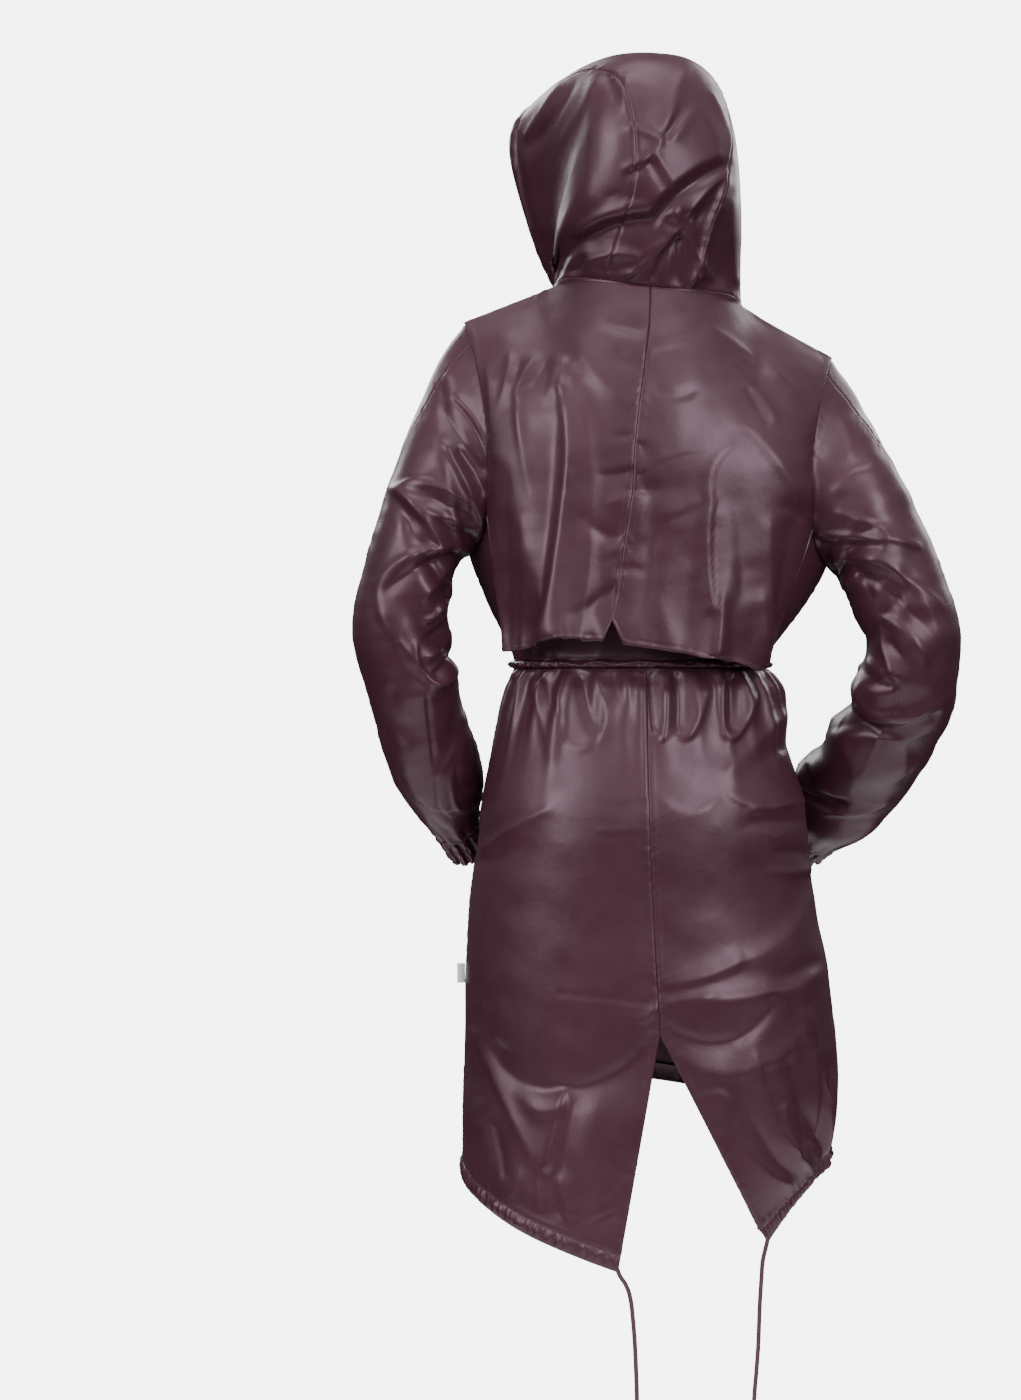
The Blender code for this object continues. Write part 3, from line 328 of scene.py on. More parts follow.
# Gathers under the waist channel: where they lie, how far they stand out and how far down they run.
GATHERS = {
    "back_left": numbers("""
across height width length
.06 .0035 .03 .06
.18 .005 .034 .085
.33 .006 .036 .12
.48 .0055 .034 .09
.62 .0065 .036 .13
.78 .0045 .032 .08
.92 .0055 .032 .1
"""),
    "back_right": numbers("""
across height width length
.07 .006 .036 .07
.2 .0045 .034 .095
.35 .006 .036 .11
.5 .0045 .034 .08
.65 .006 .034 .125
.8 .005 .032 .09
.93 .0055 .032 .105
"""),
    "front_left": numbers("""
across height width length
.12 .0045 .045 .08
.32 .005 .05 .1
.52 .0045 .045 .085
.72 .005 .045 .095
"""),
    "front_right": numbers("""
across height width length
.1 .005 .045 .09
.3 .0045 .05 .08
.5 .0055 .045 .1
.7 .0045 .045 .085
"""),
}
# Folds that run from the drawn-up corner of the right hem: where they end, their height and their width.
DRAWN_CORNER = (0.16, -0.962)        # across and height of the corner that the cord bunches up
DRAWN_FOLDS = numbers("""
across z height width
.08 -.8 .005 .014
.22 -.83 -.006 .012
.42 -.82 .008 .016
.6 -.88 -.005 .015
""")
POCKET = {"across": (0.26, 0.66), "top": -0.560, "side_top": -0.630, "bottom": -0.745}

# The free ends of the hem's drawcords, each from the tip of its tail.
CORDS = {
    "left": numbers("""
x y z
.0368 .1421 -1.069
.035 .1425 -1.0735
.0308 .143 -1.079
.0266 .143 -1.0875
.0233 .143 -1.101
.0214 .1425 -1.118
.0195 .1415 -1.14
.0182 .1405 -1.165
.0172 .1395 -1.19
.0165 .1385 -1.22
.0162 .138 -1.245
"""),
    "right": numbers("""
x y z
-.1266 .0908 -1.047
-.1228 .092 -1.0629
-.1212 .0935 -1.0827
-.1195 .095 -1.1075
-.1185 .095 -1.1325
-.1175 .095 -1.1574
-.1157 .095 -1.1823
-.1136 .095 -1.2072
-.1119 .095 -1.2321
-.1112 .095 -1.2441
"""),
}


# ---------------------------------------------------------------- the form


def ease(t):
    """0 to 1, starting and ending softly."""
    t = np.clip(t, 0.0, 1.0)
    return t * t * (3 - 2 * t)


def signed_power(value, power):
    return np.sign(value) * np.abs(value) ** power


def point(x, y, z):
    return np.stack(np.broadcast_arrays(x, y, z), axis=-1).astype(float)


def unit(vectors):
    return vectors / np.maximum(np.linalg.norm(vectors, axis=-1, keepdims=True), 1e-12)


def hump(distance, width):
    """A soft ridge's cross section, 1 at its crest."""
    return np.exp(-((distance / width) ** 2))


def posed(points, share=1.0):
    """Lifts the left shoulder and drops the right one, from nothing at the waist to all of it at the neck."""
    points = points.copy()
    lean = np.clip((points[..., 2] - WAIST_TOP) / -WAIST_TOP, 0, 1)
    points[..., 2] += SHOULDER_ROLL * share * lean * points[..., 0]
    return points


def ring(turn, height):
    """The body's section. turn is 0 at the wearer's left side, 90 at the back, 180 at the right side."""
    left, right, back, front, square = BODY.at(height)
    cosine = signed_power(np.cos(np.radians(turn)), 2 / square)
    sine = signed_power(np.sin(np.radians(turn)), 2 / square)
    x = (left + right) / 2 + (left - right) / 2 * cosine
    y = np.where(sine > 0, back, -front) * sine
    return point(x, y, height)


def turn_at(x, height, front=False):
    """The turn at which the body's section has this x, on its back or its front."""
    left, right, _, _, square = BODY.at(height)
    share = np.clip((x - (left + right) / 2) / ((left - right) / 2), -1, 1)
    turn = np.degrees(np.arccos(signed_power(share, square / 2)))
    return -turn if front else turn


def outward_of_ring(turn, height):
    """Level direction away from the body's axis."""
    step = 0.5
    along = ring(turn + step, height) - ring(turn - step, height)
    return unit(point(along[..., 1], -along[..., 0], 0))


def bezier(points, t):
    a, b, c, d = (np.array(p) for p in points)
    t = np.asarray(t, float)[..., None]
    return a * (1 - t) ** 3 + 3 * b * t * (1 - t) ** 2 + 3 * c * t * t * (1 - t) + d * t**3


def mirrored(points, side):
    """Turns a point of the wearer's left side into one of the side given, by its sign."""
    points = points.copy()
    points[..., 0] *= side
    return points


def hood_upright(share, rib):
    """The hood before the shoulders' roll, and how much of that roll it takes."""
    hinge_y, hinge_z, crown_y, crown_z, half, egg, square, rise, turned, shift, roll = HOOD.at(rib)
    cosine = signed_power(np.cos(np.pi * share), 2 / square)
    sine = signed_power(np.sin(np.pi * share), 2 / square)
    along = (1 + cosine) / 2
    x = half * sine * (1 - egg * (1 - along))
    y = hinge_y + along * (crown_y - hinge_y)
    z = hinge_z + along * (crown_z - hinge_z) + rise * sine**2
    angle = np.radians(turned)
    turned_x = x * np.cos(angle) - y * np.sin(angle) + shift
    turned_y = x * np.sin(angle) + y * np.cos(angle)
    return point(turned_x, turned_y, z), roll


def hood_surface(share, rib):
    """share runs round a rib, from 0 at the top or back to +1 and -1 at the throat; rib 0 is the neckline."""
    return posed(*hood_upright(share, rib))


def neckline(share):
    return hood_upright(share, np.zeros_like(share))[0]


def upper(across, up, centre, armhole, neck_share, neck_at):
    """The upper back or front before the pose: rows between the armholes, eased into shoulders and neck."""
    side = np.where(across < 0, -1.0, 1.0)
    size = np.abs(across)
    edge = bezier(armhole, up)
    middle_y, middle_z = centre.at(up)
    sine = np.sin(np.pi / 2 * size) ** (2 / 2.2)
    cosine = np.cos(np.pi / 2 * size) ** (2 / 2.2)
    row = point(
        edge[..., 0] * sine,
        edge[..., 1] + (middle_y - edge[..., 1]) * cosine,
        edge[..., 2] + (middle_z - edge[..., 2]) * cosine,
    )
    tip = np.array(armhole[3])
    nape_y, nape_z = centre.at(1.0)
    top_row = point(
        tip[0] * sine,
        tip[1] + (nape_y - tip[1]) * cosine,
        tip[2] + (nape_z - tip[2]) * cosine,
    )
    seam_start = neckline(np.array(NECK_SIDE))
    on_neck = neckline(neck_at(np.minimum(size / neck_share, 1)))
    past_neck = np.clip((size - neck_share) / (1 - neck_share), 0, 1)
    on_seam = seam_start + (tip - seam_start) * past_neck[..., None]
    top = np.where((size <= neck_share)[..., None], on_neck, on_seam)
    row = row + (top - top_row) * (up**3)[..., None]
    row[..., 0] *= side
    return row


def upper_back(across, up):
    return upper(across, up, CENTRE_BACK, ARMHOLE_BACK, NECK_SHARE_BACK, lambda t: NECK_SIDE * t)


def upper_front(across, up):
    return upper(across, up, CENTRE_FRONT, ARMHOLE_FRONT, NECK_SHARE_FRONT, lambda t: 1 - (1 - NECK_SIDE) * t)


def bodice_ruck(across, height):
    """Small gathers where the bodice is drawn in at the waist."""
    fade = ease(1 - (height - WAIST_TOP) / 0.045) * ease((np.abs(across) - 0.10) / 0.15)
    return 0.0020 * fade * np.cos(across * 2 * math.pi * 3.5)


def bodice(across, level, upper_part, middle_turn):
    """level runs from 0 at the waist to 1 at the underarm and on to 2 at the shoulders and neck."""
    height = WAIST_TOP + (UNDERARM - WAIST_TOP) * np.clip(level, 0, 1)
    turn = middle_turn - across * middle_turn
    low = ring(turn, height) + outward_of_ring(turn, height) * bodice_ruck(across, height)[..., None]
    high = upper_part(across, np.clip(level - 1, 0, 1))
    return posed(np.where((level <= 1)[..., None], low, high))


def back_surface(across, level):
    return bodice(across, level, upper_back, 90.0)


def front_surface(across, level):
    return bodice(across, level, upper_front, -90.0)


def armhole(side, turn):
    """The armhole's loop, posed. turn is 0 at the shoulder's tip, 90 at the back, 180 at the underarm."""
    turn = np.mod(turn, 360.0)
    on_back = turn <= 180.0
    up = np.where(on_back, 1 - turn / 180.0, turn / 180.0 - 1)
    loop = np.where(on_back[..., None], bezier(ARMHOLE_BACK, up), bezier(ARMHOLE_FRONT, up))
    return posed(mirrored(loop, 1 if side == "left" else -1))


def sleeve_tube(side, turn, along):
    """The sleeve as a plain tube. turn is 0 on its outer outline, 90 at the back, 180 on its inner one."""
    out_x, out_z, in_x, in_z, middle_y, deep = SLEEVES[side].at(along)
    centre = point((out_x + in_x) / 2, middle_y, (out_z + in_z) / 2)
    reach = point((out_x - in_x) / 2, 0, (out_z - in_z) / 2)
    step = 0.004
    ahead, behind = SLEEVES[side].at(along + step), SLEEVES[side].at(along - step)
    way = (ahead - behind) / 2
    way = unit(point((way[0] + way[2]) / 2, way[4], (way[1] + way[3]) / 2))
    fade = ease(along / ARMHOLE_FADE)[..., None]
    way = unit(way * fade + point(0, 0, -1) * (1 - fade))
    backward = np.array((0.0, 1.0, 0.0)) - way * way[..., 1:2]
    angle = np.radians(turn)[..., None]
    return centre + reach * np.cos(angle) + unit(backward) * deep[..., None] * np.sin(angle)


def fold_height(folds, turn, along):
    """The sum of the sleeve's folds: each runs across the arm on a slant and dies away at its ends."""
    total = np.zeros_like(along)
    for start, middle, slant, height, width, span in folds:
        off = np.mod(turn - middle + 180, 360) - 180
        total += height * hump(along - start - slant * off, width) * hump(off, span)
    return total


def sleeve_centre(side, along):
    out_x, out_z, in_x, in_z, middle_y, _ = SLEEVES[side].at(along)
    return point((out_x + in_x) / 2, middle_y, (out_z + in_z) / 2)


def sleeve_surface(side, turn, along):
    """The sleeve's points and the directions in which they face."""
    tube = sleeve_tube(side, turn, along)
    head = armhole(side, turn) - sleeve_tube(side, turn, np.zeros_like(along))
    tube = tube + head * (1 - ease(along / ARMHOLE_FADE))[..., None]
    facing = unit(tube - sleeve_centre(side, along))
    calm = ease(along / 0.12) * ease((CUFF_START - along) / 0.08)
    height = fold_height(SLEEVE_FOLDS[side], turn, along) * calm
    return tube + facing * height[..., None], facing


def just_outside(points, margin):
    """Moves posed points back, softly, until they clear the body's sections."""
    lean = np.clip((points[..., 2] - WAIST_TOP) / -WAIST_TOP, 0, 1)
    upright_z = points[..., 2] - SHOULDER_ROLL * lean * points[..., 0]
    left, right, back, _, square = BODY.at(upright_z)
    share = np.clip(np.abs(points[..., 0] - (left + right) / 2) / ((left - right) / 2), 0, 1)
    body_y = back * (1 - share**square) ** (1 / square) + margin
    gap = points[..., 1] - body_y
    points = points.copy()
    points[..., 1] = body_y + (gap + np.sqrt(gap**2 + 0.003**2)) / 2
    return points


def cape_surface(across, level, lift):
    """level 0 is the hem, 1 is where the edges leave the armholes and 2 is the neck and shoulders."""
    up = CAPE_LEAVES + (1 - CAPE_LEAVES) * np.clip(level - 1, 0, 1)
    step = 0.01
    bent = across + CAPE_SEAM_BEND * ease(2 - level) * np.clip(1 - np.abs(across) / 0.2, 0, 1)
    on_back = posed(upper_back(bent, up))
    low, high = np.clip(bent - step, -1, 1), np.clip(bent + step, -1, 1)
    sideways = posed(upper_back(low, up)) - posed(upper_back(high, up))
    upward = posed(upper_back(bent, np.minimum(up + step, 1))) - posed(upper_back(bent, up - step))
    clear_of_bulge = 0.0020 * ease((1.4 - level) / 0.3)
    on_back = on_back + unit(np.cross(sideways, upward)) * (lift + clear_of_bulge)[..., None]
    fall = (1 - np.clip(level, 0, 1))[..., None]
    x, y, z = CAPE_HEM.at(across)
    z = z + NOTCH_HEIGHT * np.clip(1 - np.abs(across) / NOTCH_HALF, 0, 1)
    wave = np.zeros_like(across)
    for middle, height, width in CAPE_WAVES:
        wave += height * hump(across - middle, width)
    hanging = on_back + (point(x, y, z) - on_back) * fall
    clear = just_outside(hanging, lift + 0.0028)
    clear[..., 1] += (wave + 0.002) * fall[..., 0] ** 1.3
    return np.where(fall > 0, clear, hanging)


def centre_turn(panel, height):
    """Turn of a skirt panel's centre edge at this height."""
    if panel.startswith("front"):
        return turn_at(np.zeros_like(height), height, front=True)
    seam = CENTRE_SEAM.at(np.maximum(height, VENT_TOP))[0]
    tip_x, tip_z = VENT_EDGE[panel.split("_")[1]]
    opened = np.clip((VENT_TOP - height) / (VENT_TOP - tip_z), 0, 1.2)
    return turn_at(seam + (tip_x - seam) * opened, height)


def side_turn(panel):
    return 0.0 if panel.endswith("left") else (180.0 if panel.startswith("back") else -180.0)


def panel_turn(panel, across, height):
    """Turn of a place on a skirt panel. across is 0 at the side seam and 1 at the centre edge."""
    return side_turn(panel) + (centre_turn(panel, height) - side_turn(panel)) * across


def skirt_folds(panel, across, height):
    """How far the cloth stands out: the waist's gathers and, on the right back, the drawn corner's folds."""
    total = np.zeros_like(height)
    below = np.maximum(WAIST_LOW - height, 0)
    for middle, rise, width, length in GATHERS[panel]:
        fall = hump(below - 0.012, length * 0.62) * ease(below / 0.012 + 0.35)
        total += rise * hump(across - middle, width) * fall
    if panel != "back_right":
        return total
    corner_across, corner_z = DRAWN_CORNER
    for end_across, end_z, rise, width in DRAWN_FOLDS:
        run = np.array((end_across - corner_across, (end_z - corner_z) / 0.30))
        length = float(np.hypot(*run))
        run = run / length
        aside = (across - corner_across) * run[1] - (height - corner_z) / 0.30 * run[0]
        ahead = (across - corner_across) * run[0] + (height - corner_z) / 0.30 * run[1]
        reach = ease(ahead / 0.10 + 0.3) * ease((length - ahead) / (0.75 * length))
        total += rise * hump(aside, width * (2.2 + 4.0 * np.clip(ahead, 0, 1))) * reach
    return total


def skirt_surface(panel, across, down, trim=0.0):
    """across is 0 at the side seam and 1 at the centre edge; down is 0 at the waist and 1 at the casing."""
    hem_z = HEM[panel].at(across)[0] + trim
    height = WAIST_LOW + (hem_z - WAIST_LOW) * down
    turn = panel_turn(panel, across, height)
    return ring(turn, height) + outward_of_ring(turn, height) * skirt_folds(panel, across, height)[..., None]


def casing_surface(panel, across, down):
    """The hem's drawcord casing: the skirt's last stretch, a little proud, ruched along the cord."""
    top = skirt_surface(panel, across, np.ones_like(across), CASING)
    low = skirt_surface(panel, across, np.ones_like(across))
    points = top + (low - top) * down[..., None]
    hem_z = HEM[panel].at(across)[0]
    turn = panel_turn(panel, across, hem_z)
    roundness = 4 * down * (1 - down)
    bunch = 14 if panel == "back_right" else 9
    swing = 0.0030 * hump(across - DRAWN_CORNER[0], 0.22) if panel == "back_right" else 0.0006
    swing = swing * ease(across / 0.06) * (0.3 + 0.7 * roundness)
    ruche = 0.0018 * roundness + swing * np.cos(2 * math.pi * bunch * across)
    return points + outward_of_ring(turn, hem_z) * ruche[..., None]


def channel_surface(share, up):
    """The waist channel, from the left front edge (0) round the back to the right front edge (1)."""
    height = WAIST_LOW + (WAIST_TOP - WAIST_LOW) * up
    turn = -90.0 + 360.0 * share
    bulge = CHANNEL_BULGE * np.sqrt(np.clip(4 * up * (1 - up), 0, 1))
    wave = 0.0012 * np.cos(2 * math.pi * 19 * share) * (0.3 + 0.7 * up * (1 - up) * 4)
    return ring(turn, height) + outward_of_ring(turn, height) * (bulge + wave)[..., None]


# ---------------------------------------------------------------- walls of cloth


def outward(grid, wrapped=False):
    """Unit normals of a grid of points, from its own neighbours."""
    if wrapped:
        across = np.roll(grid, -1, axis=1) - np.roll(grid, 1, axis=1)
    else:
        across = np.gradient(grid, axis=1)
    return unit(np.cross(across, np.gradient(grid, axis=0)))

# ---------------------------------------------------------------- creases

# The eye stands straight behind the coat, or straight before it, at the camera's height.
EYE = {"back": (0.154, 4.5, -0.448), "front": (0.0, -4.5, -0.448)}


def seen(points, eye):
    """Where the eye sees points, on the plane through the neck: millimetres to the coat's left, and up."""
    x, y, z = EYE[eye]
    nearer = y / (y - points[..., 1])
    return 1000 * (x + (points[..., 0] - x) * nearer), 1000 * (z + (points[..., 2] - z) * nearer)


CREASE_SCALE = 0.0012


def crease_height(points, eye, creases):
    """Ridges (+) and troughs (-), each on an arc from one place to another and from its height at the start
    to its height at the end. Seen from behind and along the crease, bow swings its middle to the right and
    steep makes its right slope the narrower one; below 0, both do the same to the left."""
    left, up = seen(points, eye)
    total = np.zeros(left.shape)
    for at_left, at_up, to_left, to_up, bow, start, end, width, steep in creases:
        run_left, run_up = to_left - at_left, to_up - at_up
        run = math.hypot(run_left, run_up)
        along = ((left - at_left) * run_left + (up - at_up) * run_up) / run**2
        aside = ((up - at_up) * run_left - (left - at_left) * run_up) / run
        inside = np.clip(along, 0, 1)
        aside = aside - bow * 4 * inside * (1 - inside)
        narrow = width * np.where(aside * steep > 0, 1 - abs(steep), 1 + abs(steep))
        caps = ease(0.5 + along * run / width / 2.4) * ease(0.5 + (1 - along) * run / width / 2.4)
        total += (start + (end - start) * inside) * caps * np.exp(-np.abs(aside / narrow) ** 1.6)
    return total * CREASE_SCALE


def wander(a, b, seed, waves=7):
    """A soft uneven field between about -1 and 1, with waves of about one unit."""
    draw = np.random.default_rng(seed)
    total = np.zeros(np.broadcast(a, b).shape)
    for _ in range(waves):
        angle, phase, pace = draw.uniform(0, math.pi), draw.uniform(0, 2 * math.pi), draw.uniform(0.55, 1.5)
        total += np.sin(2 * math.pi * pace * (a * math.cos(angle) + b * math.sin(angle)) + phase)
    return total / math.sqrt(waves)


STEEP = 0.35             # how uneven the two slopes of most creases are


def creases(text):
    """A table of creases. A row that leaves steep out gets STEEP, to its left and to its right in turn."""
    rows = numbers(text)
    return [row if len(row) == 9 else [*row, STEEP if k % 2 else -STEEP] for k, row in enumerate(rows)]


CAPE_CREASES = creases("""
left up to_left to_up bow start end width steep
99 -95 92 -202 -4 3 5 10.1 .5
92 -199 118 -381 -1 5 6 11.2 .5
106 -146 131 -381 -4 -3 -5 15.7
148 -101 131 -224 3 2.6 .3 5.6 .2
76 -103 83 -403 -15 2.5 4.5 22.4 -.5
155 -63 169 -121 -2 2.2 .6 5.6
125 -63 148 -101 1 2 2.4 5.6
102 -65 114 -115 -1 2.4 1.2 6.7
93 -63 96 -101 0 2 3 6.7
114 -65 132 -95 -1 -2 -1 5.6
143 -69 147 -123 2 -1.6 -1 5.6
180 -73 172 -179 0 2 2 6.7
82 -43 11 -119 10 3.2 1 15.7 .3
47 -25 3 -35 0 -2 -2 10.1
34 -58 0 -74 4 -1.6 -1 9
40 -156 17 -153 -1 -.8 -1.5 3.9
54 -195 18 -190 2 -1 -2 5.6
76 -241 34 -269 5 -1 -2.6 6.7
49 -227 29 -221 0 .6 1.5 5.6
37 -304 2 -304 -2 -1.5 -1.2 4.5
90 -356 39 -323 2 -1.4 -2.8 9
54 -287 31 -279 0 .5 1.6 5.6
9 -159 -7 -184 -1 -1.6 -.4 4.5
3 -202 -3 -274 -4 -1.4 -3 10.1
-3 -274 9 -356 -5 -3 -1.4 11.2
11 -198 -59 -172 -5 -1.1 -.4 2.7
7 -192 -55 -167 -4 .9 .3 3.9
-8 -246 -81 -215 0 1 .3 9
-27 -246 -65 -224 2 -1.1 -.5 4.5
-97 -162 -71 -224 12 .6 2.6 5.6 -.3
-71 -224 -74 -349 5 2.6 3 5.6 -.4
-97 -211 -105 -336 -4 -1 -3.4 15.7
-47 -269 -45 -381 -1 -.6 -1.6 15.7
-105 -139 -172 -227 -7 2.4 4 13.4 .3
-91 -64 -143 -134 -1 1.2 2.2 9
-111 -99 -133 -139 -1 -2 -1 6.7
-137 -81 -170 -114 -3 2.6 1.6 12.3
-103 -58 -130 -69 1 -1.4 -.4 5.6
-67 -29 -116 -64 -1 1 1.8 6.7
-6 -95 -52 -102 11 -.6 -1.6 5
-8 -59 -47 -52 0 -.9 -.5 5.6
-13 -43 -76 -45 -7 1.2 .6 10.1
-109 -6 -143 -31 -3 2.2 .6 4.5 .3
-146 -230 -174 -242 -2 -.8 -3.4 11.2
-138 -246 -136 -383 -1 1.4 3.4 7.8
-159 -246 -148 -336 -1 -1.6 -3 9
-83 -327 -77 -401 -1 2.4 4 6.7 .3
-93 -336 -97 -403 0 -1.6 -3.4 10.1
-129 -329 -133 -408 0 1.6 3.4 7.8
143 -246 141 -392 -1 1 2.2 7.8
160 -190 157 -381 -1 -.6 -2 7.8
125 -325 122 -392 -1 1.5 3 4.5 .4
65 -358 54 -382 0 1 1.6 7.8
-13 -336 -27 -394 -1 .6 1.8 11.2
""")
BODICE_CREASES = creases("""
left up to_left to_up bow start end width steep
149 -381 147 -412 0 1.4 1.8 3.4
141 -381 140 -412 -1 -1.2 -1.6 3.4
133 -381 132 -412 -1 1.2 1.8 3.4
124 -381 123 -412 1 -1 -1.4 3.4
99 -386 92 -412 1 1 1.6 5.6
52 -386 56 -412 0 .8 1.6 6.7
9 -390 3 -412 1 .8 1.6 6.7
-47 -398 -52 -413 0 .8 1.6 5.6
""")
SKIRT_CREASES = creases("""
left up to_left to_up bow start end width steep
128 -428 108 -515 -1 3 .8 6.7 .3
143 -421 150 -477 -1 2.4 .6 5.6
152 -423 157 -452 0 -2.4 -.8 4.5
119 -417 101 -466 0 -3 -2 5.6
103 -435 95 -495 -1 2.6 1.2 9 -.5
80 -414 63 -479 -2 -4 -4 9
95 -495 62 -498 7 1.1 1.2 7.8 .4
56 -426 54 -497 -8 3 2 10.1 .6
40 -421 25 -452 1 -1.8 -.6 5.6
22 -426 13 -488 1 3 .6 9
4 -432 2 -560 0 2.6 .8 4.5
-1 -414 -7 -484 0 -4 -3.4 5
-7 -488 -18 -487 7 1 1 6.7
-21 -435 -16 -493 -2 3 3 4.5
-32 -414 -34 -484 -2 -4 -3.6 5.6
-34 -491 -49 -473 5 1 1.4 6.7
-67 -432 -43 -493 -4 3.6 2.6 6.7 -.3
-83 -428 -86 -488 2 2.6 3 4.5 .3
-95 -419 -91 -482 -1 -5 -5 6.7
-120 -442 -93 -493 -4 3.4 3.4 5.6 -.3
-130 -423 -139 -450 0 -2.4 -1 4.5
-155 -461 -83 -533 2 4.4 2 11.2 .3
-161 -495 -112 -526 0 -2 -1 7.8
-143 -506 -155 -535 -1 1.6 1 4.5
-12 -557 -75 -560 15 .6 1.2 7.8
-85 -551 -123 -567 3 1.4 2 6.7
-110 -573 -170 -558 2 2.6 2.2 6.7 .3
-103 -589 -172 -585 -2 -1.6 -1.8 9
-128 -595 -150 -596 5 1 .6 3.4
-134 -640 -181 -638 3 1 3 5.6 .4
-137 -618 -177 -619 -2 -1 -2.4 6.7
181 -614 104 -567 -3 3 .8 5.6 -.4
188 -629 132 -607 4 -1.6 -.6 9
55 -594 13 -592 2 .7 .5 3.4
47 -560 9 -560 7 -.6 -.8 9
-184 -650 -103 -741 -18 2 3 15.7
-103 -741 -16 -767 -5 3 1.4 9
-184 -754 -66 -781 -9 3.4 3 13.4 .3
-66 -781 -18 -788 2 2.4 1.4 6.7 .2
-142 -768 -186 -741 2 -3 -3.6 9
-16 -810 -104 -827 12 -1.4 -3.4 11.2
-104 -827 -143 -778 5 -3.2 -2 10.1
-29 -841 -128 -858 17 1.4 2.6 15.7 .2
-128 -858 -167 -824 7 2.4 2 11.2 .3
-64 -892 -94 -900 -6 1 1.8 10.1
-120 -836 -179 -969 13 .8 4.4 9 -.5
-159 -853 -177 -954 -2 -2.4 -4 10.1 .4
-179 -795 -184 -954 -9 2.4 4.2 9 -.4
-199 -851 -187 -946 -4 -2.4 -4 6.7
-208 -806 -193 -960 -6 2 4 7.8
-99 -856 -161 -977 13 -.5 -3 10.1
222 -562 -226 -560 16 6.5 6.5 69.4 .05
233 -853 -16 -840 25 -4.6 -4.6 53.8 .05
-8 -795 -226 -728 17 4 4 40.3 .05
-83 -900 -159 -992 11 .4 2.2 9
-166 -773 -175 -829 0 2 3 10.1
-153 -902 -168 -954 2 2 3 4.5
183 -831 97 -886 19 -2.4 -4.4 14.6
97 -886 -8 -824 15 -4.2 -1.6 15.7
143 -892 99 -903 11 2 3 13.4
95 -887 112 -974 -1 3.4 3.4 5.6 -.5
85 -896 99 -981 0 -2.4 -2 7.8
54 -896 76 -974 -1 1.6 1.8 13.4
198 -818 160 -905 2 2.4 2.2 6.7
160 -905 128 -965 0 2 1 6.7 .3
165 -787 175 -833 -2 1.4 2 11.2
179 -824 157 -847 2 -1.6 -.8 7.8
193 -795 193 -896 2 -1.4 -1.6 5.6
103 -778 -4 -790 -1 -.4 -.7 3.4 .5
9 -809 -9 -793 2 1.2 2 4.5
143 -974 152 -1004 -2 .9 1.6 6.7
124 -970 121 -1015 0 .9 1.5 6.7
112 -977 99 -1026 2 -1 -1.4 6.7
99 -969 87 -1028 3 .8 1.5 6.7
190 -918 175 -972 -2 1 1.4 7.8
175 -921 161 -983 -2 -1.6 -1.8 5.6
34 -1019 80 -1042 -1 1.6 .6 7.8 .5
22 -986 54 -1015 -4 1.2 .6 9
-58 -952 -101 -1021 3 .6 1.2 11.2
""")
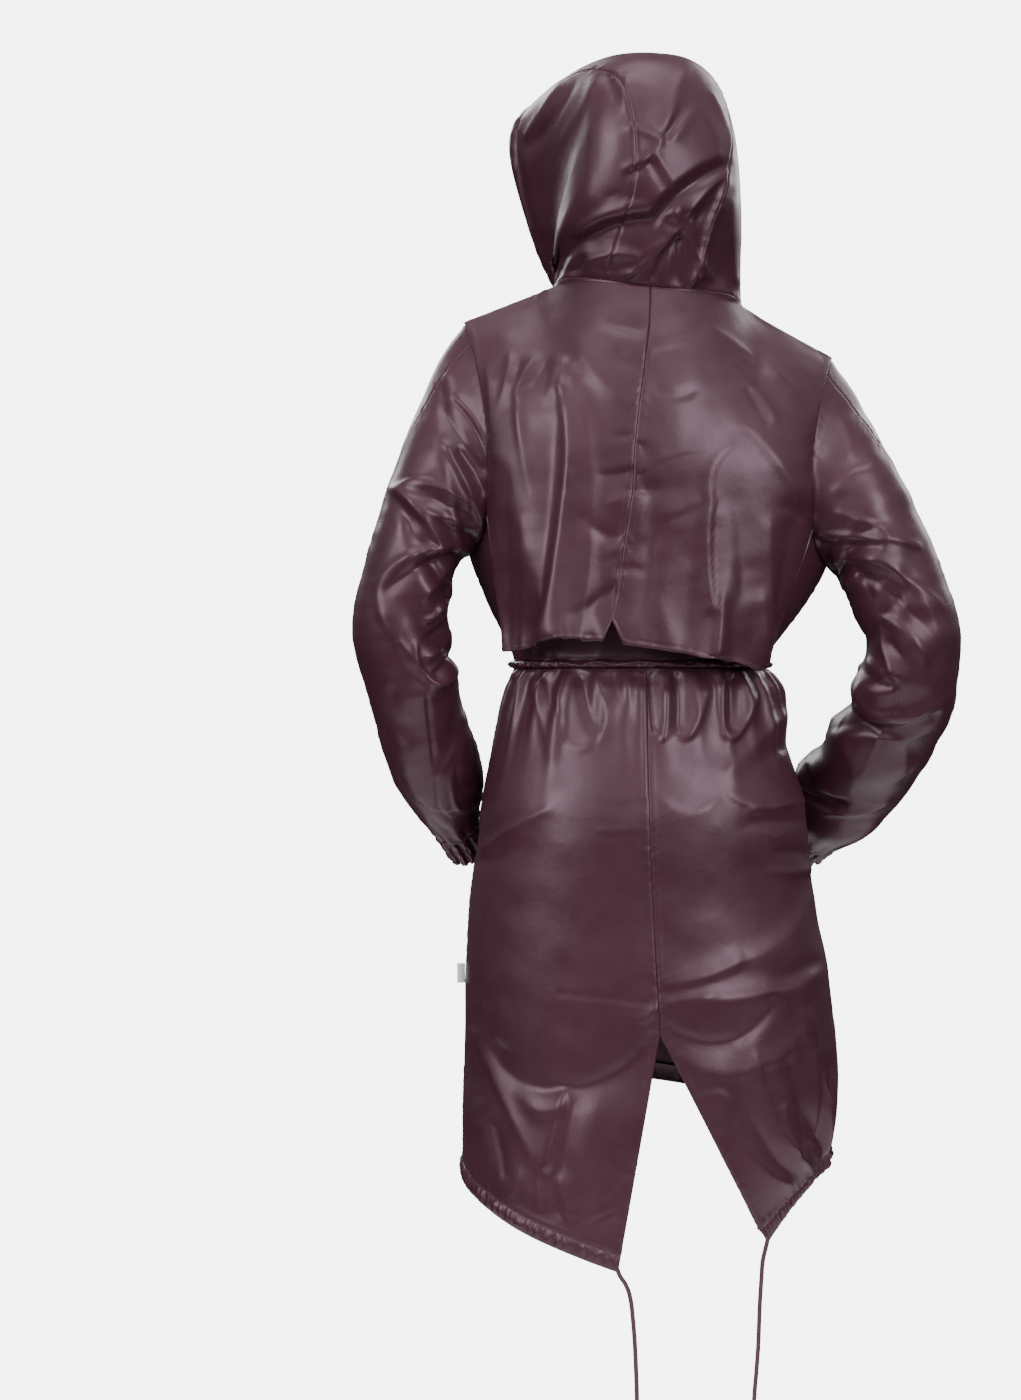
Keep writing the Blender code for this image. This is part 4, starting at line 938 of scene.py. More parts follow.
SLEEVE_CREASES = {
    "left": creases("""
left up to_left to_up bow start end width steep
225 -111 177 -183 -6 3.2 2 5.6
215 -108 178 -157 -4 -3 -2 5.6
231 -114 181 -195 3 -2.6 -3 5.6
228 -85 220 -110 0 3 2 5.6
233 -94 225 -121 -1 -2.6 -1.6 4.5
228 -161 185 -251 -2 2.4 4.2 5.6
212 -166 181 -217 -2 -2.8 -3 5.6
281 -209 199 -232 -11 1.4 3 4.5
273 -204 237 -203 -3 1.8 .6 3.4
267 -217 208 -240 -4 -1 -2.4 4.5
253 -234 183 -256 2 2 4.4 5.6
233 -246 193 -269 2 -1.6 -3.4 5.6
287 -212 232 -276 -5 5 3.4 6.7 .5
284 -224 264 -258 -2 -1.5 -2.6 7.8
304 -317 232 -278 -9 2 5 7.8
232 -278 199 -279 -4 5 5 6.7 .3
296 -327 211 -284 -8 -1.6 -6.5 6.7
215 -289 252 -337 -1 5 1.6 5.6 -.3
211 -293 244 -357 -3 -4.4 -2 5.6
204 -298 220 -340 -4 3 2 5.6
220 -320 249 -361 -7 2.6 3.2 4.5
224 -361 251 -381 0 -2.6 -2 4.5
222 -374 249 -403 -4 3.4 3 5.6
215 -385 240 -421 -3 -3.6 -3 4.5
260 -386 232 -432 9 2.4 4.4 4.5
232 -432 214 -408 6 4.4 3 4.5
293 -377 254 -430 2 -1 -2.4 6.7
304 -318 280 -381 7 1.8 1.6 7.8
280 -381 258 -408 0 1.8 1.4 5.6
307 -437 276 -495 2 1.4 1.6 10.1
289 -437 262 -493 2 -1 -1.2 9
251 -419 236 -560 0 -1.2 -1 2.5
236 -560 220 -582 4 -1 -.8 2.5
240 -540 215 -502 1 1.2 .6 3.9
220 -544 185 -554 22 2 3 4.5
215 -526 188 -538 16 -2.4 -3 6.7
208 -473 197 -452 -2 2 1 4.5
278 -526 251 -560 1 1 1.4 9
242 -580 222 -596 2 -1.2 -1.6 4.5
"""),
    "right": creases("""
left up to_left to_up bow start end width steep
-178 -260 -270 -268 0 3.6 2.4 5
-270 -268 -306 -278 -1 2.4 3 4.5
-209 -237 -271 -263 -3 .8 2.6 5
-184 -271 -260 -277 2 -3 -1.8 5.6
-204 -283 -260 -258 -3 1.6 .6 3.4
-204 -293 -286 -312 -12 3 4 7.8
-286 -312 -330 -345 -2 4 2.6 7.8
-211 -304 -290 -346 -10 -5 -2.6 9
-255 -317 -291 -340 -5 2 2.6 7.8
-226 -298 -251 -336 -3 -2.4 -1 5.6
-255 -353 -312 -405 -10 2.6 4 7.8
-260 -365 -279 -428 5 3 3 4.5 .3
-270 -381 -291 -417 -2 -2.6 -1.2 6.7
-296 -349 -332 -408 -4 -2 -1 9
-307 -336 -338 -408 -5 1.6 1.6 7.8
-232 -435 -273 -469 11 4 5.4 5.6 .2
-273 -469 -336 -444 9 5.4 3 5.6 .3
-237 -417 -279 -430 8 -4 -5 6.7
-241 -473 -327 -461 12 -3 -4.4 6.7
-278 -428 -276 -465 0 -1.6 -1.6 2.7
-246 -403 -269 -417 3 2.6 1.6 4.5
-199 -483 -242 -478 -4 -2 -3.4 9
-263 -480 -241 -532 0 1.4 .6 3.4
-215 -498 -228 -549 -5 1 1.4 9
-167 -528 -212 -575 13 3 5.4 5.6
-212 -575 -271 -563 4 5.4 2 5.6 .3
-176 -524 -220 -564 12 -4 -5 6.7
-226 -594 -271 -573 6 -1.8 -1.2 7.8
-211 -121 -226 -174 -4 1 1.6 10.1
-222 -194 -249 -183 -2 -.8 -1.8 6.7
-208 -213 -233 -190 2 1.2 .8 6.7
-260 -157 -291 -224 -1 1.2 1 7.8
-184 -190 -184 -246 -3 1.4 2 5.6
-199 -325 -222 -363 -2 2.4 1.4 5.6
-213 -323 -240 -370 -2 -2.6 -1.6 6.7
-232 -381 -233 -419 6 2 3 5.6
-282 -493 -278 -542 -8 1.4 1 10.1
"""),
}
HOOD_CREASES = creases("""
left up to_left to_up bow start end width steep
24 140 -4 156 1 -2.6 -2 3.4
25 147 -2 162 1 2 1.6 4.5
24 195 -17 180 -3 1.6 2.4 4.5
-18 180 -48 222 0 -2.6 -.8 3.4 .3
-26 179 -55 217 0 2.2 .6 5.6
-18 183 7 150 0 1.8 2 4.5
-7 164 -31 124 0 2.6 1 4.5 .4
0 159 -20 121 0 -2 -.6 4.5
-44 258 -20 190 1 1.4 2.2 6.7 -.4
20 253 29 211 2 2.4 1 7.8
47 255 31 211 -2 -2 -1 5.6
63 246 67 105 0 1.6 1 11.2
82 246 130 172 -2 -2.4 -3.4 9
99 242 139 179 1 2 2.6 6.7
54 249 103 168 0 1.6 1 7.8
121 121 93 120 -2 -.7 -.4 2.7
47 116 20 118 -2 -.8 -.5 3.4
108 168 103 67 2 1 .8 10.1
139 168 116 72 1 1.4 1.2 9
108 16 69 67 -10 -5 -7 11.2
69 67 -8 87 -7 -7.5 -7.5 11.2
-8 87 -91 150 -8 -6.5 -3.6 7.8
85 72 -2 105 -9 3 4 11.2
-2 105 -76 161 -5 4 2.6 10.1
-91 147 -43 96 1 2.6 4.4 5.6
-88 136 -47 12 0 3 5 5.6 .3
-76 112 -83 20 3 -2.6 -3 7.8
-94 112 -99 18 3 1.6 1.4 5.6
-35 77 24 24 -1 4.4 3 5.6
-35 74 -4 22 3 -4.4 -2 4.5
-35 72 -35 12 3 -4.6 -2.4 5.6
-46 91 -58 22 0 3 3 4.5
-29 102 -36 78 -1 3.6 2 4.5
-18 87 -36 80 1 -3 -2 4.5
-54 87 -65 105 -1 -3 -1.4 4.5
85 26 71 47 0 -5 -4 4.5
71 43 9 49 -6 3 3.4 6.7
68 28 -2 18 0 2.4 2 5.6
9 43 -16 58 0 -2.4 -2 5.6
-60 43 -72 22 2 2.4 1.4 4.5
-71 233 -94 168 -4 1.6 1.2 3.9
-58 213 -78 157 -3 1.2 1 9
""")

# The hidden side's creases, as seen from before.
FRONT_CREASES = creases("""
left up to_left to_up bow start end width steep
150 -90 60 -150 8 2.4 .8 10 0
165 -150 80 -210 6 -2 -1 9 0
170 -200 90 -270 10 2.8 1.2 10 .2
150 -290 60 -330 6 2 1 9 0
90 -330 70 -400 3 1.6 2.4 7 0
50 -320 44 -400 0 -1.6 -2.2 7 0
120 -340 104 -400 3 -1.4 -2.4 7 0
60 -100 40 -190 -6 1.8 1 9 0
-150 -110 -60 -160 -8 2.4 .8 10 0
-168 -170 -80 -240 -6 -2 -1 9 0
-170 -215 -95 -290 -10 2.8 1.2 10 -.2
-140 -300 -60 -340 -6 2 1 9 0
-86 -330 -70 -400 3 1.6 2.4 7 0
-48 -320 -44 -400 0 -1.6 -2.2 7 0
-112 -340 -100 -400 3 -1.4 -2.4 7 0
-56 -110 -38 -200 6 1.8 1 9 0
""")
SKIRT_FRONT_CREASES = creases("""
left up to_left to_up bow start end width steep
120 -425 132 -500 -4 3 1 7 0
100 -425 104 -480 0 -3 -1.4 7 0
76 -425 82 -520 -4 3.4 1 7 0
52 -425 50 -490 0 -2.6 -1 6 0
34 -425 36 -500 3 2.4 .8 6 0
160 -560 60 -640 14 2.6 1 13 .2
150 -700 50 -760 12 2.4 1 15 0
140 -790 60 -850 10 -2 -1 14 0
120 -760 96 -900 -6 2 1.4 12 0
-110 -425 -122 -500 4 3 1 7 0
-92 -425 -96 -480 0 -3 -1.4 7 0
-72 -425 -78 -520 4 3.4 1 7 0
-50 -425 -48 -490 0 -2.6 -1 6 0
-32 -425 -34 -500 -3 2.4 .8 6 0
-160 -580 -60 -650 -14 2.6 1 13 -.2
-165 -690 -50 -740 -12 2.4 1 15 0
-170 -800 -60 -850 -10 -2.4 -1 14 0
-185 -900 -110 -840 8 3 1 10 0
-186 -860 -120 -790 8 -3 -1 10 0
-110 -760 -90 -900 6 2 1.4 12 0
""")
SLEEVE_FRONT_CREASES = {
    "left": creases("""
left up to_left to_up bow start end width steep
222 -90 262 -140 4 2.4 1 9 0
212 -150 284 -200 8 3 1.4 8 0
214 -185 280 -230 6 -2.8 -1 8 0
214 -230 300 -270 8 3.6 1.4 8 .2
220 -330 312 -350 10 4 2 7 0
222 -350 318 -376 8 -4 -2 7 0
226 -372 316 -400 10 4.4 2 7 .3
214 -400 300 -420 8 -3.6 -1.4 7 0
208 -430 300 -450 8 3 1.4 8 0
200 -500 272 -520 6 2.4 1.2 8 0
190 -530 262 -550 6 -2.4 -1 8 0
196 -556 254 -576 6 2.4 1.2 7 0
"""),
    "right": creases("""
left up to_left to_up bow start end width steep
-222 -110 -262 -160 -4 2.4 1 9 0
-216 -180 -290 -220 -8 3 1.4 8 0
-216 -214 -290 -250 -6 -2.8 -1 8 0
-220 -260 -310 -290 -8 3.6 1.4 8 -.2
-232 -350 -330 -380 -10 4 2 7 0
-236 -376 -336 -410 -8 -4 -2 7 0
-230 -410 -338 -440 -10 4.4 2 7 -.3
-216 -440 -320 -470 -8 -3.6 -1.4 7 0
-204 -470 -310 -500 -8 3 1.4 8 0
-190 -510 -290 -540 -6 2.4 1.2 8 0
-180 -540 -270 -565 -6 -2.4 -1 8 0
-182 -566 -254 -590 -6 2.4 1.2 7 0
"""),
}
HOOD_FRONT_CREASES = creases("""
left up to_left to_up bow start end width steep
88 180 96 90 -6 1.4 2.4 10 0
70 60 92 -10 6 2 3 8 0
56 50 74 -20 6 -2 -3 8 0
-60 200 -84 100 6 1.4 2.4 10 0
-70 60 -92 -10 -6 2.4 3 8 0
-56 50 -76 -20 -6 -2 -3 8 0
-40 40 -60 -40 -6 2 2.4 7 0
""")

# What each piece was cut to before it was sewn and gathered: width, length, flat area and how it is held.
CUT = {
    node: (float(width), float(length), float(area), held)
    for node, width, length, area, held in words("""
node width length area held
back_bodice .47 .45 .19 hung
front_left_bodice .25 .42 .087 hung
front_right_bodice .25 .42 .085 hung
cape_left .24 .42 .081 hung
cape_right .26 .43 .095 hung
sleeve_left_back .19 .62 .087 hung
sleeve_left_front .22 .62 .099 hung
sleeve_right_back .2 .64 .097 hung
sleeve_right_front .23 .64 .107 hung
cuff_left .26 .04 .01 gathered
cuff_right .26 .04 .01 gathered
hood_gusset .17 .42 .062 draped
hood_left .24 .3 .054 draped
hood_right .27 .33 .071 draped
hood_hem .62 .018 .0105 folded
skirt_back_left .31 .66 .172 gathered
skirt_back_right .3 .64 .155 gathered
skirt_front_left .28 .56 .138 gathered
skirt_front_right .28 .56 .131 gathered
hem_casing_left .64 .021 .0125 gathered
hem_casing_right .64 .021 .0115 gathered
waist_channel 1.1 .017 .015 gathered
front_placket .065 .85 .054 hung
pocket_left .14 .19 .017 hung
pocket_right .14 .19 .0165 hung
""")
}

# Rows of stitches: the piece, the edge that the row follows and its distance from that edge.
STITCHING = words("""
row node edge distance
cape cape_left low .0052
cape cape_right low .0052
cape cape_left last .002
cape cape_left last .008
cape cape_right first .002
cape cape_right first .008
cape cape_left first .0024
cape cape_right last .0024
bodice back_bodice low .0022
bodice front_left_bodice low .0022
bodice front_right_bodice low .0022
hood hood_left last .0022
hood hood_right first .0022
hood hood_left high .003
hood hood_gusset high .003
hood hood_right high .003
sleeves sleeve_left_back first .0024
sleeves sleeve_right_back first .0024
sleeves sleeve_left_back high .0024
sleeves sleeve_left_front high .0024
sleeves sleeve_right_back high .0024
sleeves sleeve_right_front high .0024
skirt skirt_back_left last .0022
skirt skirt_back_right first .0022
skirt skirt_back_left low .002
skirt skirt_back_right low .002
skirt skirt_front_left low .002
skirt skirt_front_right low .002
skirt skirt_back_left high .0024
skirt skirt_back_right high .0024
skirt skirt_front_left high .0024
skirt skirt_front_right high .0024
front front_placket first .003
front front_placket last .003
front pocket_left first .0026
front pocket_left last .0026
front pocket_left low .0026
front pocket_left high .006
front pocket_right first .0026
front pocket_right last .0026
front pocket_right low .0026
front pocket_right high .006
""")


# ---------------------------------------------------------------- shells of cloth

SHEET_THICK = 0.0013
FOLDED_THICK = 0.0022    # of the hood's hem and the placket, which are folded
RIM_TUCK = 0.10          # how far a shell's rim lies within its two sides, as a share of its thickness
SEAMS = dict.fromkeys(("low", "high", "first", "last"), "seam")
HEMS = dict.fromkeys(SEAMS, "hem")
# Ridges and grooves along an edge: place from the edge, width and height.
RELIEF = {
    "seam": ((0.0, 0.0014, -0.00035), (0.0044, 0.0030, 0.00035)),
    "hem": ((0.0, 0.0012, -0.0004), (0.0030, 0.0026, 0.0006), (0.0062, 0.0010, -0.00035)),
}
PUCKERS = {"seam": 0.00055, "hem": 0.0004}      # heights of the puckers along the edges
PUCKER_STEP = 0.011      # from one pucker to the next
PUCKER_REACH = 0.008     # how far they run into the cloth


def mesh_object(name, corners, faces, materials, face_slots=None, soft=True, rims_from=None):
    """A mesh of faces that all have as many corners. The faces from rims_from on are shaded flat."""
    mesh = bpy.data.meshes.new(name)
    mesh.vertices.add(len(corners))
    mesh.vertices.foreach_set("co", np.asarray(corners, np.float32).ravel())
    mesh.loops.add(faces.size)
    mesh.loops.foreach_set("vertex_index", faces.ravel().astype(np.int32))
    mesh.polygons.add(len(faces))
    mesh.polygons.foreach_set("loop_start", (np.arange(len(faces)) * faces.shape[1]).astype(np.int32))
    mesh.update(calc_edges=True)
    mesh.validate()
    for each in materials:
        mesh.materials.append(each)
    if face_slots is not None:
        mesh.polygons.foreach_set("material_index", np.asarray(face_slots, np.int32))
    mesh.shade_smooth()
    if rims_from is not None:
        mesh.polygons.foreach_set("use_smooth", np.arange(len(faces)) < rims_from)
    if not soft:
        mesh.set_sharp_from_angle(angle=math.radians(40))
    return placed(bpy.data.objects.new(name, mesh))


def placed(made):
    bpy.context.scene.collection.objects.link(made)
    return made


def turned_to(vectors, way):
    """The vectors, with those that point against the way reversed."""
    lean = np.sum(vectors * way, axis=-1, keepdims=True)
    return np.where(lean < 0, -vectors, vectors)


def run_along(places):
    """How far along a line each of its places lies."""
    return np.concatenate([[0], np.cumsum(np.linalg.norm(np.diff(places, axis=0), axis=1))])


class Shell:
    """A thin piece of cloth on a grid of points, with the way its relief goes and what finishes its edges."""

    def __init__(self, node, grid, facing, relief, edges, thick=SHEET_THICK, wrapped=False):
        self.name, self.node, self.thick, self.wrapped = f"{node}_cloth", node, thick, wrapped
        self.edges = edges
        self.away = self.from_edges(grid)
        self.grid = grid + facing * (relief + self.edge_relief())[..., None]
        self.normals = turned_to(outward(self.grid, wrapped), facing)

    def from_edges(self, grid):
        """Distance of each point from each edge, measured along the cloth."""
        rows = np.linalg.norm(np.diff(grid, axis=0), axis=-1)
        columns = np.linalg.norm(np.diff(grid, axis=1), axis=-1)
        down = np.concatenate([np.zeros((1, grid.shape[1])), np.cumsum(rows, axis=0)])
        right = np.concatenate([np.zeros((grid.shape[0], 1)), np.cumsum(columns, axis=1)], axis=1)
        return {"low": down, "high": down[-1] - down, "first": right, "last": right[:, -1:] - right}

    def edge_relief(self):
        """What seams and hems raise along the edges: ridges, grooves and uneven puckers."""
        total = 0.0
        for edge, finish in self.edges.items():
            away = self.away[edge]
            run = self.away["first" if edge in ("low", "high") else "low"]
            for place, width, height in RELIEF[finish]:
                total = total + height * hump(away - place, width)
            patches = ease(0.5 + 0.7 * wander(run / 0.09, 0.0 * run, 8))
            uneven = wander(run / PUCKER_STEP, away / 0.05, 31) * patches
            total = total + PUCKERS[finish] * uneven * np.exp(-away / PUCKER_REACH) * ease(away / 0.0015)
        return total

    def line(self, edge, distance):
        """Points and normals along the cloth, at a distance from one of its edges."""
        away, fields = self.away[edge], [self.grid, self.normals]
        if edge in ("low", "high"):
            away, fields = away.T, [field.transpose(1, 0, 2) for field in fields]
        if edge in ("high", "last"):
            away, fields = away[:, ::-1], [field[:, ::-1] for field in fields]
        places, normals = (
            np.array([[np.interp(distance, reach, column) for column in spots.T] for reach, spots in rows])
            for rows in (zip(away, field) for field in fields)
        )
        return places, unit(normals)

    def build(self, materials):
        """The closed shell: its outer side, its inner side and its rims."""
        rows, columns = self.grid.shape[:2]
        rim = np.zeros((rows, columns), bool)
        rim[[0, -1]] = True
        if not self.wrapped:
            rim[:, [0, -1]] = True
        tuck = np.where(rim, RIM_TUCK * self.thick, 0.0)[..., None]
        sides = (self.grid - self.normals * tuck, self.grid - self.normals * (self.thick - tuck))
        corners = np.concatenate([side.reshape(-1, 3) for side in sides])
        under = rows * columns
        this = np.arange(columns if self.wrapped else columns - 1)
        following = (this + 1) % columns
        row = np.arange(rows - 1) * columns
        a, b = row[:, None] + this, row[:, None] + following
        outside = np.stack([a, b, b + columns, a + columns], axis=-1).reshape(-1, 4)
        inside = outside[:, ::-1] + under
        top = (rows - 1) * columns
        borders = [(this, following), (top + following, top + this)]
        if not self.wrapped:
            borders += [(row + columns, row), (row + columns - 1, row + 2 * columns - 1)]
        rims = [np.stack([p, p + under, q + under, q], axis=-1) for p, q in borders]
        faces = np.concatenate([outside, inside, *rims])
        first, second, third = (corners[faces[:, k]] for k in (0, 1, 2))
        if np.sum(first * np.cross(second, third)) < 0:
            faces = faces[:, ::-1]
        walls = len(outside) + len(inside)
        slots = np.zeros(len(faces), int)
        slots[len(outside) : walls] = 1
        return mesh_object(self.name, corners, faces, materials, slots, rims_from=walls)


def join_rims(shells):
    """Where two shells share a seam, both turn their thickness the same way there."""
    meeting = {}
    for shell in shells:
        rows, columns = shell.grid.shape[:2]
        spots = [(r, c) for r in (0, rows - 1) for c in range(columns)]
        if not shell.wrapped:
            spots += [(r, c) for r in range(1, rows - 1) for c in (0, columns - 1)]
        for r, c in spots:
            key = tuple(np.round(shell.grid[r, c] * 2500).astype(int))
            meeting.setdefault(key, []).append((shell, r, c))
    for places in meeting.values():
        mean = sum(shell.normals[r, c] for shell, r, c in places)
        length = np.linalg.norm(mean)
        if len(places) > 1 and length > 0.3:
            for shell, r, c in places:
                shell.normals[r, c] = mean / length


def stations(length, step, near_start=True, near_end=True):
    """Shares from 0 to 1 along a length in metres: close together at a seam, then one step apart."""
    close = np.array((0.0, 0.0008, 0.0017, 0.0028, 0.0042, 0.0058, 0.0075))
    start = close if near_start else close[:1]
    end = length - close[::-1] if near_end else np.array((length,))
    count = max(2, int(round((end[0] - start[-1]) / step)))
    middle = np.linspace(start[-1], end[0], count + 1)[1:-1]
    return np.concatenate([start, middle, end]) / length


def run_of(start, end, shares):
    return start + (end - start) * shares


# ---------------------------------------------------------------- the pieces of cloth

STEP_BACK = 0.0032
STEP_SIDE = 0.0044
STEP_FRONT = 0.0055
# Rounded lengths of the pieces, which set how many steps their grids have.
SPAN = {
    "below_underarm": 0.112, "above_underarm": 0.29, "back": 0.42, "front": 0.20,
    "cape_free": 0.125, "cape_half": 0.205, "sleeve": 0.66, "half_sleeve": 0.24, "cuff": 0.042,
    "hood": 0.42, "gusset": 0.13, "hood_side": 0.27, "face_opening": 0.60,
    "skirt": 0.62, "skirt_back": 0.30, "skirt_front": 0.27,
    "placket": 0.044, "pocket_width": 0.11, "pocket_height": 0.18,
}
SOFT_ACROSS, SOFT_DOWN = 0.018, 0.022    # how far the back's form is evened out
HOOD_MIDDLE = np.array((0.0, 0.0, 0.10))
HOOD_END = 8.6           # the rib at which the hood's cloth goes under its hem
HOOD_HEM_RIBS = (8.50, 9.00)
CUFF_UNDER = 0.006       # how much of the cuff lies under the sleeve, as a share of the sleeve
CASING_UNDER = 0.14      # how much of the hem's casing lies under the skirt, as a share of the casing
PLACKET_TOP = 1.965      # level at which the placket ends


def both_sides(points, facing, back, front):
    """The creases seen from behind on what faces backwards, and those seen from before on the rest."""
    behind, before = (ease(way * facing[..., 1] / 0.5 + 0.35) for way in (1, -1))
    return crease_height(points, "back", back) * behind + crease_height(points, "front", front) * before


def rumple(points, seed, amount=0.0006, step=0.06):
    """The cloth's slight unevenness between its creases."""
    x, y, z = points[..., 0], points[..., 1], points[..., 2]
    across = np.arctan2(x, y + 0.4 * np.sign(y)) * 0.16 + 0.3 * x
    broad = wander(across / step, z / step, seed)
    return amount * (broad + 0.35 * wander(across / (0.5 * step), z / (0.6 * step), seed + 1))


def soften(grid, axis, reach, step, share=1.0):
    """Evens a grid out along one axis over a reach in metres, as far as share says. Its rim is kept."""
    share = np.broadcast_to(share, grid.shape[:2])[..., None]
    for _ in range(int(2 * (reach / step) ** 2)):
        change = (np.roll(grid, 1, axis) + np.roll(grid, -1, axis) - 2 * grid) * share / 4
        change[[0, -1]] = 0
        change[:, [0, -1]] = 0
        grid = grid + change
    return grid


def bodice_facing(grid):
    """The normals of the bodice or the cape, away from the body's axis."""
    return turned_to(outward(grid), grid * np.array((1.0, 1.0, 0.0)))


def cape_shells():
    made = []
    free = stations(SPAN["cape_free"], STEP_BACK, near_end=False)
    sewn = 1 + stations(SPAN["above_underarm"], STEP_BACK, near_start=False)[1:]
    for node, start in (("cape_left", 1.0), ("cape_right", 0.0)):
        columns = run_of(start, start - 1.0, stations(SPAN["cape_half"], STEP_BACK))
        across, level = np.meshgrid(columns, np.concatenate([free, sewn]))
        beside = ease(np.abs(across) / 0.25 - 0.08)
        grid = soften(cape_surface(across, level, WALL + LAYER), 1, SOFT_ACROSS, STEP_BACK, beside)
        grid = soften(grid, 0, SOFT_DOWN, STEP_BACK, hump(level - 1, 0.35) * beside)
        to_sides = ease((1 - np.abs(across)) / 0.05 + 0.25 + np.clip(1 - level, 0, 1))
        fade = to_sides * ease((2 - level) / 0.05 + 0.1)
        relief = (crease_height(grid, "back", CAPE_CREASES) + rumple(grid, 3, 0.0004)) * fade
        made.append(Shell(node, grid, bodice_facing(grid), relief, {**SEAMS, "low": "hem"}))
    return made


def bodice_shells():
    low, high = (stations(SPAN[part], STEP_SIDE) for part in ("below_underarm", "above_underarm"))
    rows = np.concatenate([low, 1 + high[1:]])
    across, level = np.meshgrid(run_of(1.0, -1.0, stations(SPAN["back"], STEP_SIDE)), rows)
    grid = soften(back_surface(across, level), 1, SOFT_ACROSS, STEP_SIDE)
    grid = soften(grid, 0, SOFT_DOWN, STEP_SIDE, hump(level - 1, 0.35))
    under_cape = ease((level - 0.25) / 0.2)
    shared = np.minimum(crease_height(grid, "back", CAPE_CREASES), 0) * 1.1 - 0.0012
    inner = ease((1 - np.abs(across)) / 0.08) * ease((2 - level) / 0.10)
    relief = (shared * under_cape + crease_height(grid, "back", BODICE_CREASES) * (1 - under_cape)) * inner
    made = [Shell("back_bodice", grid, bodice_facing(grid), relief, SEAMS)]
    for node, start in (("front_left_bodice", 0.0), ("front_right_bodice", -1.0)):
        across, level = np.meshgrid(run_of(start, start + 1.0, stations(SPAN["front"], STEP_FRONT)), rows)
        grid = front_surface(across, level)
        inner = ease((1 - np.abs(across)) / 0.08) * ease((2 - level) / 0.10)
        inner = inner * ease(np.abs(across) / 0.12 - 0.6)
        relief = (crease_height(grid, "front", FRONT_CREASES) + rumple(grid, 12, 0.0006)) * inner
        made.append(Shell(node, grid, bodice_facing(grid), relief, SEAMS))
    return made


def sleeve_shells():
    made = []
    rows = stations(SPAN["sleeve"], STEP_BACK) * CUFF_START
    seam = SLEEVE_SEAM.at(rows)[0]
    for side, seed in (("left", 20), ("right", 24)):
        halves = (("back", seam, 180.0, STEP_BACK), ("front", 180.0, seam + 360.0, STEP_FRONT))
        for part, start, end, step in halves:
            start, end = (np.broadcast_to(edge, rows.shape)[:, None] for edge in (start, end))
            turn = start + (end - start) * stations(SPAN["half_sleeve"], step)[None, :]
            along = np.broadcast_to(rows[:, None], turn.shape)
            grid, facing = sleeve_surface(side, turn, along)
            calm = ease(along / 0.05) * ease((CUFF_START - along) / 0.03)
            folds = both_sides(grid, facing, SLEEVE_CREASES[side], SLEEVE_FRONT_CREASES[side])
            gathers = 0.0012 * np.cos(np.radians(turn) * CUFF_GATHERS) * hump(CUFF_START - along, 0.030)
            relief = (folds + rumple(grid, seed, 0.0007, 0.045)) * calm + gathers
            made.append(Shell(f"sleeve_{side}_{part}", grid, facing, relief, SEAMS))
    return made


def cuff_shells():
    made = []
    for side, seed in (("left", 41), ("right", 43)):
        rows = run_of(CUFF_START - CUFF_UNDER, 1.0, stations(SPAN["cuff"], 0.0014))
        turn, along = np.meshgrid(np.arange(0, 360, 1.5), rows)
        grid = sleeve_tube(side, turn, along)
        facing = unit(grid - sleeve_centre(side, along))
        uneven = 0.35 * wander(turn / 70, along * 3, seed)
        gathers = np.cos(np.radians(turn) * CUFF_GATHERS + uneven)
        sharp = gathers - 0.35 * np.cos(np.radians(turn) * 2 * CUFF_GATHERS + 2 * uneven)
        share = (along - CUFF_START) / (1 - CUFF_START)
        channels = 0.0010 * (np.abs(np.sin(share * math.pi * 3)) ** 0.6 - 0.6)
        relief = CUFF_RUCHE * 1.15 * sharp + channels + 0.0004 * wander(turn / 12, share * 3, 47)
        relief = relief * ease(share / 0.12) - 0.0020 * ease(-share / 0.06)
        made.append(Shell(f"cuff_{side}", grid, facing, relief, {"low": "hem", "high": "hem"}, wrapped=True))
    return made


def hood_shells():
    made = []
    ribs = stations(SPAN["hood"], STEP_BACK, near_end=False) * HOOD_END
    gusset = GUSSET.at(ribs)[0][:, None]
    middle = gusset * (1 - 2 * stations(SPAN["gusset"], STEP_BACK))[None, :]
    left = gusset + (1 - gusset) * stations(SPAN["hood_side"], STEP_SIDE)[None, ::-1]
    for node, share in (("hood_gusset", middle), ("hood_left", left), ("hood_right", -left[:, ::-1])):
        rib = np.broadcast_to(ribs[:, None], share.shape)
        grid = hood_surface(share, rib)
        facing = turned_to(outward(grid), grid - HOOD_MIDDLE)
        calm = ease(rib / 0.35) * ease((HOOD_END - rib) / 0.5)
        folds = both_sides(grid, facing, HOOD_CREASES, HOOD_FRONT_CREASES)
        made.append(Shell(node, grid, facing, (folds + rumple(grid, 50, 0.0004)) * calm, SEAMS))
    shares = run_of(1.0, -1.0, stations(SPAN["face_opening"], STEP_SIDE))
    share, rib = np.meshgrid(shares, run_of(*HOOD_HEM_RIBS, np.linspace(0, 1, 15)))
    grid = hood_surface(share, rib)
    roll = np.sin(math.pi * np.clip((rib - HOOD_END) / 0.40, 0, 1))
    tucked = 0.0022 * ease((HOOD_END - rib) / 0.10)
    relief = 0.0022 * roll + 0.0006 * wander(share * 18, rib, 55) * roll - tucked
    hems = {"first": "hem", "last": "hem"}
    made.append(Shell("hood_hem", grid, outward(grid), relief, hems, thick=FOLDED_THICK))
    return made


